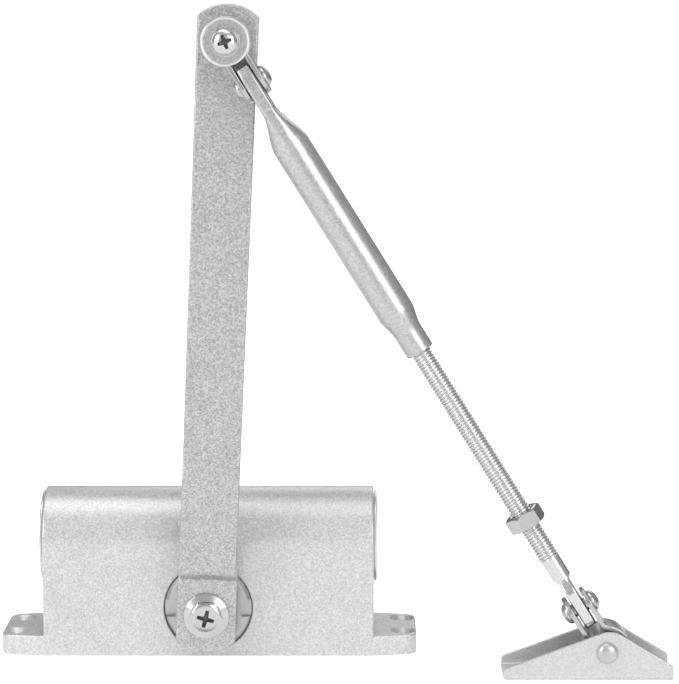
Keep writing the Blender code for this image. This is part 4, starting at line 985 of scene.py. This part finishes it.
joggle = HEAD_BACK_Y - MAIN_BACK_Y
arc_rise = JOGGLE_RADIUS * (1 - math.cos(JOGGLE_ANGLE))
slope_length = (joggle - 2 * arc_rise) / math.sin(JOGGLE_ANGLE)
joggle_height = 2 * JOGGLE_RADIUS * math.sin(JOGGLE_ANGLE) + slope_length * math.cos(JOGGLE_ANGLE)
arc_length = JOGGLE_RADIUS * JOGGLE_ANGLE
spare = 2 * arc_length + slope_length - joggle_height
joggle_start = JOGGLE_MIDDLE - joggle_height / 2
end_base = ARM_LENGTH + ARM_END_REACH - ARM_END_RISE + spare
head_base = -ARM_HEAD_REACH + ARM_END_RISE
outline = [(-x, -y) for x, y in crown(ARM_HALF_WIDTH, -head_base, ARM_END_RISE)]
outline += [(ARM_HALF_WIDTH, joggle_start), (ARM_WAIST_HALF_WIDTH, WAIST_Z + spare)]
outline += crown(ARM_HALF_WIDTH, end_base, ARM_END_RISE)
outline += [(-ARM_WAIST_HALF_WIDTH, WAIST_Z + spare), (-ARM_HALF_WIDTH, joggle_start)]
bar = slab(outline, 0, ARM_THICKNESS, ARM_EDGE, ARM_EDGE, steps=4)
square_hole = slab(square(ARM_SQUARE_HALF, 0.4), -1, 6)
elbow_hole = placed(drill((ELBOW_HOLE, -1, 6), steps=48), Matrix.Translation((0, ARM_LENGTH + spare, 0)))
bar = carve(bar, [square_hole, elbow_hole])
runs = [
    (joggle_start + ARM_HEAD_REACH, 0.0),
    (arc_length, JOGGLE_ANGLE),
    (slope_length, 0.0),
    (arc_length, -JOGGLE_ANGLE),
    (ARM_LENGTH + ARM_END_REACH + 10, 0.0),
]
bar.transform(Matrix.Translation((0, 0, -ARM_THICKNESS / 2)))
bar = bend(bar, -ARM_HEAD_REACH, runs)
bar.transform(Matrix.Translation((0, -ARM_HEAD_REACH, ARM_THICKNESS / 2 - HEAD_BACK_Y)))
arm_place = axes(SPINDLE, ARM_RIGHT, (0, -1, 0))
arm_paint = silver_paint("arm_paint", 0.31, 0.76, 0.42, 0.75, 0.5)
arm = finished(bar, "arm_bar", arm_paint, arm_place)
fit(arm, "spindle", "arm_paint", "main_arm")

# ------------------------------------------------------------------------------------------------
# Arm fixing. A domed washer and a hexagon screw, both bright zinc, hold the arm on the spindle. The
# screw's head is chamfered, dished, and has a cross recess for a screwdriver.

WASHER_BORE = 3.3
WASHER_CROWN = 6.2
WASHER_RIM = 0.75
SCREW_CHAMFER_ANGLE = math.radians(28)
SCREW_DISH = 4.9
SCREW_DISH_DEPTH = 0.3
ARM_SCREW_TURN = math.radians(-12)
ARM_SCREW_CROSS = (3.4, 0.85, 2.6)
ARM_SCREW_FLATS = 11.5
ARM_SCREW_SHANK = 2.9


def cross_cutter(reach, half_width, depth, turn, top):
    """The cutter for a cross recess: four wings that narrow and slope in towards a point."""
    rings = []
    for level, share in ((top + 0.6, 1.1), (top, 1.0), (top - 0.8 * depth, 0.7), (top - depth, 0.2)):
        r, h = reach * share, half_width * (0.45 + 0.55 * share)
        h = min(h, r * 0.6)
        corner = h * 1.25
        wing = [(r, -h * 0.8), (r, h * 0.8), (corner, h), (h, corner)]
        ring = []
        for quarter in range(4):
            angle = turn + quarter * math.pi / 2
            c, s = math.cos(angle), math.sin(angle)
            ring += [(x * c - y * s, x * s + y * c, level) for x, y in wing]
        rings.append(ring)
    return skin(rings)


# Painted shade for cross recesses: a dark, blotchy metal that stands in for the shade deep in a recess
recess_dirt, recess_shade_tree, recess_shade_shader, _ = blotchy(
    "recess_dirt", 900.0, 3.0, (0.05, 0.05, 0.05), (0.28, 0.28, 0.27)
)
feed(recess_shade_tree, recess_shade_shader, {"Metallic": 0.6})


def paint_recess_shade(screw, place, reach, top, depth):
    """Painted shade in a cross recess: the faces near the axis that are steep or lie deep take a dark
    material.
    """
    screw.data.materials.append(recess_dirt)
    back = place.inverted()
    axis = (place.to_3x3() @ Vector((0, 0, 1))).normalized()
    for polygon in screw.data.polygons:
        spot = back @ (polygon.center / MM)
        near = math.hypot(spot.x, spot.y) < reach and spot.z > top - depth - 0.5
        if near and (polygon.normal.dot(axis) < 0.8 or spot.z < top - 0.9):
            polygon.material_index = 1


def hex_head(across_flats, base, top, both_faces=False):
    """A hexagon prism whose corners are chamfered round, as on a nut or a screw head."""
    corner = across_flats / math.sqrt(3)
    round_face = across_flats / 2 * 0.92
    fall = (corner - round_face) * math.tan(SCREW_CHAMFER_ANGLE)
    profile = [(0, top), (round_face, top), (corner, top - fall)]
    if both_faces:
        profile += [(corner, base + fall), (round_face, base), (0, base)]
    else:
        profile += [(corner, base - 1), (0, base - 1)]
    return carve(slab(hexagon(across_flats), base, top), [lathe(profile, 72)], "INTERSECT")


def front_and_back(node):
    """How far forward a CAD node's front and back are from the casting's middle plane."""
    low, high = box_mm(node)
    return -low.y, -high.y


arm_zinc = turned_metal("arm_fixing_zinc", 0.66, 0.20, arm_place, bump=0.06)
washer_low, washer_high = box_mm("arm_washer")
washer_front, washer_back = front_and_back("arm_washer")
washer_radius = (washer_high.z - washer_low.z) / 2
washer_profile = eased(
    [
        (WASHER_BORE, washer_back),
        (washer_radius, washer_back, 0.15),
        (washer_radius, washer_back + WASHER_RIM, 0.35),
        (WASHER_CROWN, washer_front, 1.2),
        (WASHER_BORE, washer_front),
    ],
    steps=6,
)
washer = finished(lathe(washer_profile, 96, ring=True), "domed_washer", arm_zinc, arm_place)
fit(washer, "spindle", "bright_zinc", "arm_washer")

screw_top, screw_tip = front_and_back("arm_screw")
screw_seat = washer_front + SEAT_CLEARANCE
head = hex_head(ARM_SCREW_FLATS, screw_seat, screw_top)
shank = [(0, screw_seat + 1), (ARM_SCREW_SHANK, screw_seat + 1)]
shank += [(ARM_SCREW_SHANK, screw_tip, 0.6), (0, screw_tip)]
head = carve(head, [lathe(eased(shank, closed=False))], "UNION")
dish_floor = screw_top - SCREW_DISH_DEPTH
dish = [(0, dish_floor), (SCREW_DISH - 0.5, dish_floor), (SCREW_DISH, screw_top)]
dish += [(SCREW_DISH + 0.5, screw_top + PAST), (0, screw_top + PAST)]
head = carve(head, [lathe(dish)])
head = carve(head, [cross_cutter(*ARM_SCREW_CROSS, ARM_SCREW_TURN, dish_floor)])
arm_screw = finished(head, "hexagon_screw", arm_zinc, arm_place)
# The recess's steep and deep faces take the painted shade
paint_recess_shade(arm_screw, arm_place, ARM_SCREW_CROSS[0] + 0.1, screw_top, ARM_SCREW_CROSS[2])
fit(arm_screw, "spindle", "bright_zinc", "arm_screw")

# ------------------------------------------------------------------------------------------------
# Elbow pivot. A flanged steel bush stands on the arm, a plated disc with a raised rim closes it, and
# a pan-head screw through both holds them. The forearm's strap turns on the bush.

BUSH_RADIUS = 7.3
BUSH_BORE = 3.3
DISC_RIM_WIDTH = 0.55
DISC_RIM_HEIGHT = 0.22
PAN_RADIUS = 5.7
PAN_COLLAR = 0.7
ELBOW_SHANK = 3.0
ELBOW_CROSS = (2.9, 0.75, 2.3)
ELBOW_CROSS_TURN = math.radians(24)

elbow_place = axes((ELBOW.x, 0, ELBOW.z), ARM_RIGHT, (0, -1, 0))
bush_front, bush_back = front_and_back("elbow_bush")
disc_low, disc_high = box_mm("elbow_disc")
disc_front, disc_back = front_and_back("elbow_disc")
disc_radius = (disc_high.x - disc_low.x) / 2
flange = disc_front - disc_back
bush_profile = eased(
    [
        (BUSH_BORE, bush_back),
        (disc_radius, bush_back, 0.3),
        (disc_radius, bush_back + flange, 0.3),
        (BUSH_RADIUS, bush_back + flange),
        (BUSH_RADIUS, bush_front, 0.3),
        (BUSH_BORE, bush_front),
    ]
)
bush_steel = turned_metal("bush_steel", 0.66, 0.30, elbow_place)
bush = finished(lathe(bush_profile, 80, ring=True), "elbow_flanged_bush", bush_steel, elbow_place)
fit(bush, "spindle", "steel", "elbow_bush")

face = disc_front - DISC_RIM_HEIGHT
disc_profile = eased(
    [
        (BUSH_BORE, disc_back),
        (disc_radius, disc_back, 0.2),
        (disc_radius, disc_front, 0.3),
        (disc_radius - DISC_RIM_WIDTH, disc_front, 0.2),
        (disc_radius - DISC_RIM_WIDTH - 0.2, face, 0.15),
        (BUSH_BORE, face),
    ]
)
elbow_zinc = turned_metal("elbow_zinc", 0.70, 0.24, elbow_place, bump=0.08)
disc_paint = silver_paint("elbow_disc_paint", 0.42, 0.68, 0.36, 0.85, 0.3)
disc = finished(lathe(disc_profile, 96, ring=True), "elbow_cover_disc", disc_paint, elbow_place)
# Painted highlight: the raised rim takes a far brighter metal than the face, standing in for the light it
# catches
disc.data.materials.append(turned_metal("disc_rim_zinc", 0.95, 0.42, elbow_place))
centre = elbow_place.to_translation() * MM
rim_start = (disc_radius - DISC_RIM_WIDTH - 0.25) * MM
for polygon in disc.data.polygons:
    out = polygon.center - centre
    polygon.material_index = int(math.hypot(out.x, out.z) > rim_start)
fit(disc, "spindle", "bright_zinc", "elbow_disc")

pan_top, pan_back = front_and_back("elbow_screw")
pan_seat = disc_front + SEAT_CLEARANCE
dome_radius = PAN_RADIUS - PAN_COLLAR
dome_foot = pan_seat + 0.5
profile = [(0.0, pan_top)]
for s, c in quarter_round(10, first=1):
    profile.append((dome_radius * s**0.9, dome_foot + (pan_top - dome_foot) * c))
profile += eased(
    [
        (dome_radius, dome_foot),
        (PAN_RADIUS, dome_foot, 0.2),
        (PAN_RADIUS, pan_seat, 0.15),
        (ELBOW_SHANK, pan_seat),
        (ELBOW_SHANK, pan_back, 0.4),
        (0, pan_back),
    ],
    closed=False,
)[1:]
pan = carve(lathe(profile, 80), [cross_cutter(*ELBOW_CROSS, ELBOW_CROSS_TURN, pan_top - 0.05)])
pan_screw = finished(pan, "elbow_pan_screw", elbow_zinc, elbow_place)
# The recess's steep and deep faces take the painted shade
paint_recess_shade(pan_screw, elbow_place, ELBOW_CROSS[0] + 0.1, pan_top, ELBOW_CROSS[2])
fit(pan_screw, "spindle", "bright_zinc", "elbow_screw")

# ------------------------------------------------------------------------------------------------
# Strap yokes. One flat strap is wrapped round the pivot's bush at each end of the forearm, and its
# two ears come back side by side. A rivet through the ears holds the forearm, so that it can tilt.

STRAP_THICKNESS = 1.8
STRAP_RADIUS = 9.4
STRAP_HALF_DEPTH = 6.5
STRAP_EDGE = 0.35
EAR_GAP_HALF = 3.0
EAR_FLARE_RADIUS = 2.3
RIVET_REACH = 18.0
CROSS_RIVET = 2.5
CROSS_RIVET_HEAD = 4.15
CROSS_RIVET_HEIGHT = 2.65

FOOT = pivot_mm("foot_turn")
ALONG = (FOOT - ELBOW).normalized()
ACROSS = Vector((-ALONG.z, 0.0, ALONG.x))

# Fine lines along a rolled or drawn piece, with faint stains over them
drawing, drawing_in, drawing_out = new_group(
    "drawn_lines",
    (("Vector", "Vector", (0, 0, 0)), ("Lines per Metre", "Float", 2500.0), ("Stretch", "Float", 0.03)),
    (("Lines", "Float"), ("Smudge", "Float")),
)
squeeze = add_node(drawing, "ShaderNodeCombineXYZ", {0: 1.0, 1: 1.0, 2: drawing_in.outputs["Stretch"]})
squeezed = {0: drawing_in.outputs["Vector"], 1: squeeze.outputs[0]}
long_way = add_node(drawing, "ShaderNodeVectorMath", squeezed, operation="MULTIPLY").outputs[0]
lines = noise(drawing, long_way, drawing_in.outputs["Lines per Metre"], 3.0)
stains = noise(drawing, drawing_in.outputs["Vector"], 110.0, 4.0)
feed(drawing, drawing_out, {"Lines": lines, "Smudge": stains})


def drawn_metal(name, grey, roughness, place, bump=0.1, tint=(1.0, 1.0, 1.0)):
    """Metal with fine lines along the Z axis of the place given."""
    return marked_metal(name, drawing, 0.84, 0.2, grey, roughness, place, bump, tint)


# A rivet is one half, head and shank, set back to back with its twin and joined in the middle
back_to_back, inputs, result = new_geometry_tree("rivet_back_to_back", (("Metal", "Material"),))
copies = copies_round(back_to_back, inputs["Geometry"], 2, 0)
halves = add_node(back_to_back, "GeometryNodeRealizeInstances", {0: copies}).outputs[0]
whole = add_node(back_to_back, "GeometryNodeMergeByDistance", {"Geometry": halves, "Distance": 0.001})
end_in_metal(back_to_back, whole.outputs[0], inputs["Metal"], result)


def rivet(name, shank, grip, head, height, place, metal):
    """A rivet with a low domed head at both ends of its grip."""
    seat = grip / 2
    half = [(0.0, seat + height)]
    for s, c in quarter_round(12, first=1):
        half.append((head * s**0.85, seat + 0.25 + (height - 0.25) * c))
    half += [(head - 0.12, seat), (shank, seat), (shank, 0.0)]
    bm = grown(back_to_back, lathe(half, 64), metal=metal)
    return finished(bm, name, metal, place, sharp=40)


def strap_blank():
    """The strap cut flat from strip, with round ends and two rivet holes, then bent to shape."""
    middle = STRAP_RADIUS - STRAP_THICKNESS / 2
    ear_side = EAR_GAP_HALF + STRAP_THICKNESS / 2
    flare_side = ear_side + EAR_FLARE_RADIUS
    flare_at = math.sqrt((middle + EAR_FLARE_RADIUS) ** 2 - flare_side**2)
    lean = math.atan2(flare_side, flare_at)
    flare_turn = math.pi / 2 - lean
    ear = RIVET_REACH + STRAP_HALF_DEPTH - flare_at
    flare = EAR_FLARE_RADIUS * flare_turn
    loop_turn = 2 * math.pi - 2 * lean
    runs = [(ear, 0.0), (flare, flare_turn), (middle * loop_turn, -loop_turn)]
    runs += [(flare, flare_turn), (ear, 0.0)]
    length = sum(run for run, _ in runs)
    half = STRAP_HALF_DEPTH
    outline = list(sweep((0, half), half, 180, 360, 24)) + list(sweep((0, length - half), half, 0, 180, 24))
    blank = slab(outline, -STRAP_THICKNESS / 2, STRAP_THICKNESS / 2, STRAP_EDGE, STRAP_EDGE)
    holes = []
    for at in (half, length - half):
        hole = drill((CROSS_RIVET + SEAT_CLEARANCE, -2, 2), steps=32)
        holes.append(placed(hole, Matrix.Translation((0, at, 0))))
    blank = bend(carve(blank, holes), 0.0, runs)
    # The blank's Y runs down the first ear, and its Z becomes the way across the ears
    return placed(blank, Matrix.Translation((0, -RIVET_REACH - half, ear_side)))


to_yoke = Matrix(((0, -1, 0, 0), (0, 0, 1, 0), (-1, 0, 0, 0), (0, 0, 0, 1)))
grip = 2 * (EAR_GAP_HALF + STRAP_THICKNESS) + 0.1
for end, pivot, up in (("elbow", ELBOW, ALONG), ("foot", FOOT, -ALONG)):
    body = f"{end}_yoke"
    yoke_place = axes(pivot, up, (0, -1, 0))
    strap_zinc = drawn_metal(f"{end}_strap_zinc", 0.62, 0.26, yoke_place)
    blank = placed(strap_blank(), to_yoke)
    strap = finished(blank, f"{end}_strap", strap_zinc, yoke_place, sharp=40)
    fit(strap, body, "bright_zinc", f"{end}_yoke_strap")
    rivet_place = axes(pivot + RIVET_REACH * up, (0, 1, 0), ACROSS)
    rivet_zinc = turned_metal(f"{end}_rivet_zinc", 0.60, 0.26, rivet_place, bump=0.05)
    sizes = (CROSS_RIVET, grip, CROSS_RIVET_HEAD, CROSS_RIVET_HEIGHT)
    cross = rivet(f"{end}_tilt_rivet", *sizes, rivet_place, rivet_zinc)
    fit(cross, body, "bright_zinc", f"{end}_cross_rivet")

# ------------------------------------------------------------------------------------------------
# Forearm tube. A steel tube, flattened to a tang at the elbow and swaged down to a threaded neck at
# its other end, then painted silver.

TANG_START = 11.3
TANG_HALF_THICKNESS = 2.7
TANG_HALF_WIDTH = 7.75
TANG_END = 29.5
TUBE_ROUND_AT = 46.0
TUBE_RADIUS = 7.15
TUBE_TAPER_START = 119.0
NECK_START = 128.5
NECK_RADIUS = 5.55
NECK_END = 137.0
NECK_BORE = 4.15
TUBE_HOLLOW = 5.3
HOLLOW_START = 49.0
HOLLOW_END = 122.0


def smooth(t):
    """Rises from 0 to 1 with a level start and end."""
    t = min(1.0, max(0.0, t))
    return t * t * (3 - 2 * t)


def blunt_ellipse(z, half_x, half_y, power, points=72):
    """A ring at one height: power 2 is an ellipse, and more is squarer."""
    ring = []
    for i in range(points):
        angle = 2 * math.pi * (i + 0.5) / points
        c, s = math.cos(angle), math.sin(angle)
        x = half_x * math.copysign(abs(c) ** (2 / power), c)
        y = half_y * math.copysign(abs(s) ** (2 / power), s)
        ring.append((x, y, z))
    return ring


def round_ring(z, radius):
    """A circle at one height."""
    return blunt_ellipse(z, radius, radius, 2)


def cross_hole(at):
    """The cutter for a rivet hole across the forearm, at a distance along it."""
    hole = drill((CROSS_RIVET + SEAT_CLEARANCE, -8, 8), steps=40)
    return placed(hole, axes((0, 0, at), (0, 1, 0), (1, 0, 0)))


tube_rings = []
for past_start, shrink in ((0.0, 0.70), (0.12, 0.35), (0.4, 0.1), (0.8, 0.0)):
    thick = TANG_HALF_THICKNESS - 0.5 * shrink
    wide = TANG_HALF_WIDTH * (0.86 - 0.1 * shrink)
    tube_rings.append(blunt_ellipse(TANG_START + past_start, thick, wide, 7.0))
for i in range(1, 9):
    t = i / 8
    wide = TANG_HALF_WIDTH * (0.86 + 0.14 * math.sin(t * math.pi / 2))
    tube_rings.append(blunt_ellipse(TANG_START + 0.8 + 5 * t, TANG_HALF_THICKNESS, wide, 7.0))
tube_rings.append(blunt_ellipse(TANG_END - 0.5, TANG_HALF_THICKNESS + 0.05, TANG_HALF_WIDTH, 7.0))
for i in range(29):
    t = i / 28
    swell = smooth(t)
    half_x = TANG_HALF_THICKNESS + 0.1 + (TUBE_RADIUS - TANG_HALF_THICKNESS - 0.1) * swell
    half_y = TANG_HALF_WIDTH - 0.35 + (TUBE_RADIUS - TANG_HALF_WIDTH + 0.35) * swell
    power = 2 + 3.2 * (1 - min(1.0, 1.25 * t)) ** 1.5
    tube_rings.append(blunt_ellipse(TANG_END + (TUBE_ROUND_AT - TANG_END) * t, half_x, half_y, power))
for z in (60, 80, 100, TUBE_TAPER_START - 1):
    tube_rings.append(round_ring(z, TUBE_RADIUS))
for i in range(15):
    t = i / 14
    z = TUBE_TAPER_START + (NECK_START - TUBE_TAPER_START) * t
    tube_rings.append(round_ring(z, TUBE_RADIUS + (NECK_RADIUS - TUBE_RADIUS) * smooth(t)))
for before_end, shrink in ((0.4, 0.0), (0.12, 0.1), (0.0, 0.35)):
    tube_rings.append(round_ring(NECK_END - before_end, NECK_RADIUS - shrink))
tube = skin(tube_rings)
forearm_place = axes(ELBOW, ACROSS, ALONG)
hollow = drill((TUBE_HOLLOW, HOLLOW_START, HOLLOW_END), (NECK_BORE, HOLLOW_END, NECK_END + PAST))
tube = carve(tube, [hollow, cross_hole(RIVET_REACH)])
tube_paint = silver_paint("tube_paint", 0.42, 0.70, 0.34, 0.85, 0.3)
forearm = finished(tube, "forearm_shell", tube_paint, forearm_place, sharp=38)
fit(forearm, "forearm", "silver_paint", "forearm_tube")

# ------------------------------------------------------------------------------------------------
# Threaded rod. An M8 steel rod, zinc plated, with a rolled thread that screws into the tube's neck.
# Its other end is a plain shank, forged flat to a blade that the foot's rivet passes through.

ROD_RADIUS = 3.98
THREAD_PITCH = 1.25
THREAD_DEPTH = 0.62
THREAD_SIDES = 36
ROD_START = 106.0
THREAD_END = 231.6
SHANK = 3.7
SHANK_END = 240.4
BLADE_END = 261.3
BLADE_HALF_THICKNESS = 2.3
BLADE_HALF_WIDTH = 5.5

thread, inputs, result = new_geometry_tree(
    "screw_thread",
    (
        ("Start", "Float"),
        ("Turns", "Int"),
        ("Pitch", "Float"),
        ("Root Radius", "Float"),
        ("Depth", "Float"),
        ("Sides", "Int"),
        ("Metal", "Material"),
    ),
)
long_side = math_node(thread, "MULTIPLY_ADD", inputs["Turns"], inputs["Sides"], 1.0)
strip = add_node(
    thread,
    "GeometryNodeMeshGrid",
    {"Size X": inputs["Turns"], "Size Y": 1.0, "Vertices X": long_side, "Vertices Y": 8},
)
spot = add_node(thread, "GeometryNodeInputPosition").outputs[0]
spot = add_node(thread, "ShaderNodeSeparateXYZ", {0: spot})
turn = math_node(thread, "ADD", spot.outputs["X"], math_node(thread, "MULTIPLY", inputs["Turns"], 0.5))
over = math_node(thread, "ADD", spot.outputs["Y"], 0.5)
turns_left = math_node(thread, "SUBTRACT", inputs["Turns"], turn)
fade = math_node(thread, "MINIMUM", turn, turns_left)
fade = add_node(thread, "ShaderNodeClamp", {0: fade}).outputs[0]
climb = math_node(thread, "MULTIPLY_ADD", over, fade, math_node(thread, "MAXIMUM", turn, 1.0))
lift = math_node(thread, "MULTIPLY", math_node(thread, "SUBTRACT", climb, 1.0), inputs["Pitch"])
level = math_node(thread, "ADD", lift, inputs["Start"])
from_crest = math_node(thread, "ABSOLUTE", math_node(thread, "MULTIPLY_ADD", over, 2.0, -1.0))
crest = math_node(thread, "MULTIPLY_ADD", from_crest, -2.0, 1.75)
crest = add_node(thread, "ShaderNodeClamp", {0: crest}).outputs[0]
out = math_node(thread, "MULTIPLY", math_node(thread, "MULTIPLY", crest, fade), inputs["Depth"])
radius = math_node(thread, "ADD", out, inputs["Root Radius"])
angle = math_node(thread, "MULTIPLY", turn, 2 * math.pi)
point = round_point(thread, radius, angle, level)
wound = add_node(thread, "GeometryNodeSetPosition", {"Geometry": strip.outputs[0], "Position": point})
root_circle = {"Vertices": inputs["Sides"], "Radius": inputs["Root Radius"]}
lid = add_node(thread, "GeometryNodeMeshCircle", root_circle, fill_type="NGON").outputs[0]
rise = math_node(thread, "MULTIPLY", math_node(thread, "SUBTRACT", inputs["Turns"], 1.0), inputs["Pitch"])
top = math_node(thread, "ADD", rise, inputs["Start"])
lids = []
for height in (inputs["Start"], top):
    spot = add_node(thread, "ShaderNodeCombineXYZ", {2: height}).outputs[0]
    lids.append(add_node(thread, "GeometryNodeTransform", {"Geometry": lid, "Translation": spot}).outputs[0])
joined = add_node(thread, "GeometryNodeJoinGeometry")
for part in (lids[1], lids[0], wound.outputs[0]):
    thread.links.new(part, joined.inputs[0])
open_seams = {"Geometry": joined.outputs[0], "Distance": 0.002}
welded = add_node(thread, "GeometryNodeMergeByDistance", open_seams).outputs[0]
end_in_metal(thread, welded, inputs["Metal"], result)

rod_zinc = drawn_metal("rod_zinc", 0.80, 0.24, forearm_place)
turns = round((THREAD_END - ROD_START) / THREAD_PITCH) + 1
rod_thread = grown(
    thread,
    bmesh.new(),
    start=ROD_START,
    turns=turns,
    pitch=THREAD_PITCH,
    root_radius=ROD_RADIUS - THREAD_DEPTH,
    depth=THREAD_DEPTH,
    sides=THREAD_SIDES,
    metal=rod_zinc,
)
thread_top = ROD_START + (turns - 1) * THREAD_PITCH
rod_rings = [round_ring(thread_top - 2.0, 2.9), round_ring(thread_top - 0.6, SHANK - 0.35)]
rod_rings += [round_ring(thread_top - 0.1, SHANK), round_ring(SHANK_END - 0.6, SHANK)]
rod_rings.append(blunt_ellipse(SHANK_END - 0.2, SHANK - 0.3, SHANK - 0.1, 2.2))
for i in range(25):
    t = i / 24
    half_x = BLADE_HALF_THICKNESS + 0.7 * (1 - smooth(t * 6))
    half_y = SHANK + (BLADE_HALF_WIDTH - SHANK) * smooth(t * 1.15)
    rod_rings.append(blunt_ellipse(SHANK_END + 7.1 * t, half_x, half_y, 2.5 + 3.5 * smooth(t * 2.5)))
rod_rings.append(blunt_ellipse(BLADE_END - 4, BLADE_HALF_THICKNESS, BLADE_HALF_WIDTH, 6))
for s, c in quarter_round(8):
    thick = BLADE_HALF_THICKNESS - 0.3 * max(0.0, s - 0.6)
    wide = BLADE_HALF_WIDTH * (0.55 + 0.45 * c)
    rod_rings.append(blunt_ellipse(BLADE_END - 3.5 + 3.5 * s, thick, wide, 6))
rod = carve(rod_thread, [skin(rod_rings)], "UNION")
rod = carve(rod, [cross_hole((FOOT - ELBOW).length - RIVET_REACH)])
rod = finished(rod, "rod_and_blade", rod_zinc, forearm_place, sharp=50)
fit(rod, "rod", "bright_zinc", "threaded_rod")

# ------------------------------------------------------------------------------------------------
# Lock nut. A plated M8 nut, chamfered on both faces, that jams against the tube's neck once the
# forearm's length is set.

NUT_FLATS = 13.0
NUT_HEIGHT = 6.5
NUT_MIDDLE = 213.0
NUT_TURN = math.radians(-10)

lock_low, lock_high = NUT_MIDDLE - NUT_HEIGHT / 2, NUT_MIDDLE + NUT_HEIGHT / 2
mouth_radius = ROD_RADIUS + SEAT_CLEARANCE
lock = hex_head(NUT_FLATS, lock_low, lock_high, both_faces=True)
bore = lathe(
    [
        (0, lock_high + PAST),
        (mouth_radius + 1.5, lock_high + PAST),
        (mouth_radius, lock_high - 0.5),
        (mouth_radius, lock_low + 0.5),
        (mouth_radius + 1.5, lock_low - PAST),
        (0, lock_low - PAST),
    ]
)
lock = carve(lock, [bore])
nut_zinc = turned_metal("lock_nut_zinc", 0.64, 0.18, forearm_place)
lock_nut = finished(placed(lock, Matrix.Rotation(NUT_TURN, 4, "Z")), "rod_lock_nut", nut_zinc, forearm_place)
fit(lock_nut, "lock_nut", "bright_zinc", "lock_nut")

# ------------------------------------------------------------------------------------------------
# Foot. A channel pressed from steel sheet and painted silver: two peaked walls stand on a base with
# two screw holes. A rivet and a bush cross the walls, and the lower strap turns on the bush.

SHEET = 1.8
SHEET_EDGE = 0.3
FOLD_RADIUS = 1.7
LEFT_HEIGHT = 4.5
RIGHT_HEIGHT = 5.7
PEAK_RADIUS = 10.0
PEAK_HEIGHT = 18.9
PEAK_FROM_AXIS = 0.721
WALL_CORNER = 1.4
FOOT_HOLES_FROM_END = (8.0, 7.6)
FOOT_HOLE = 2.75
FOOT_PIN = 3.0
FOOT_RIVET_HEAD = 4.1
FOOT_RIVET_HEIGHT = 2.5

bracket_low, bracket_high = box_mm("foot_bracket")
peak = Vector((FOOT.x + PEAK_FROM_AXIS, PEAK_HEIGHT - PEAK_RADIUS))


def touch_angle(corner, side):
    """Where a line from a wall's corner touches the round of the peak, as an angle in degrees."""
    away = peak - Vector(corner)
    return math.degrees(math.atan2(-away.y, -away.x) + side * math.acos(PEAK_RADIUS / away.length))


right_corner, left_corner = (bracket_high.x, RIGHT_HEIGHT), (bracket_low.x, LEFT_HEIGHT)
wall = [(bracket_high.x, 0.0), (*right_corner, WALL_CORNER)]
over_peak = [touch_angle(right_corner, 1), touch_angle(left_corner, -1) % 360]
wall += sweep(peak, PEAK_RADIUS, *over_peak, 16)
wall += [(*left_corner, WALL_CORNER), (bracket_low.x, 0.0)]
wall = eased(wall)[1:-1]

width = bracket_high.y - bracket_low.y
fold = FOLD_RADIUS * math.pi / 2
flat_base = width - 2 * (FOLD_RADIUS + SHEET / 2)
folded_up = FOLD_RADIUS + SHEET / 2  # height at which a wall becomes straight
wall_foot = flat_base / 2 + fold
blank = [(x, z - folded_up + wall_foot) for x, z in wall]
blank += [(x, -y) for x, y in reversed(blank)]
bracket = slab(blank, -SHEET / 2, SHEET / 2, SHEET_EDGE, SHEET_EDGE)
holes = []
for x in (bracket_low.x + FOOT_HOLES_FROM_END[0], bracket_high.x - FOOT_HOLES_FROM_END[1]):
    holes.append(placed(drill((FOOT_HOLE, -2, 2), steps=40), Matrix.Translation((x, 0, 0))))
for side in (-1, 1):
    spot = (FOOT.x, side * (FOOT.z - folded_up + wall_foot), 0)
    pin_hole = drill((FOOT_PIN + SEAT_CLEARANCE, -2, 2), steps=40)
    holes.append(placed(pin_hole, Matrix.Translation(spot)))
bracket = carve(bracket, holes)
blank_half = PEAK_HEIGHT - folded_up + wall_foot + 1
straight = blank_half - wall_foot
runs = [(straight, 0.0), (fold, -math.pi / 2), (flat_base, 0.0), (fold, -math.pi / 2), (straight, 0.0)]
bracket = bend(bracket, -blank_half, runs)
bracket_paint = silver_paint("bracket_paint", 0.56, 0.78, 0.40, 0.72, 0.3)
bracket.transform(Matrix(((1, 0, 0, 0), (0, 0, 1, 0), (0, -1, 0, 0), (0, 0, 0, 1))))
corner = Vector([min(vert.co[i] for vert in bracket.verts) for i in range(3)])
bracket.transform(Matrix.Translation(bracket_low - corner))
bracket = finished(bracket, "foot_channel", bracket_paint, UPRIGHT)
fit(bracket, "foot", "silver_paint", "foot_bracket")

foot_axis = axes(FOOT, (1, 0, 0), (0, -1, 0))
foot_bush_low, foot_bush_high = box_mm("foot_bush")
half = (foot_bush_high.y - foot_bush_low.y) / 2
foot_bush_radius = (foot_bush_high.x - foot_bush_low.x) / 2
bush_profile = [(FOOT_PIN + SEAT_CLEARANCE, -half), (foot_bush_radius, -half, 0.4)]
bush_profile += [(foot_bush_radius, half, 0.4), (FOOT_PIN + SEAT_CLEARANCE, half)]
foot_steel = turned_metal("foot_bush_steel", 0.66, 0.30, foot_axis)
foot_bush = lathe(eased(bush_profile), 72, ring=True)
foot_bush = finished(foot_bush, "foot_pivot_bush", foot_steel, foot_axis)
fit(foot_bush, "foot", "steel", "foot_bush")
foot_zinc = turned_metal("foot_rivet_zinc", 0.64, 0.40, foot_axis, bump=0.05)
sizes = (FOOT_PIN, width + 0.2, FOOT_RIVET_HEAD, FOOT_RIVET_HEIGHT)
foot_rivet = rivet("foot_pivot_rivet", *sizes, foot_axis, foot_zinc)
fit(foot_rivet, "foot", "bright_zinc", "foot_rivet")
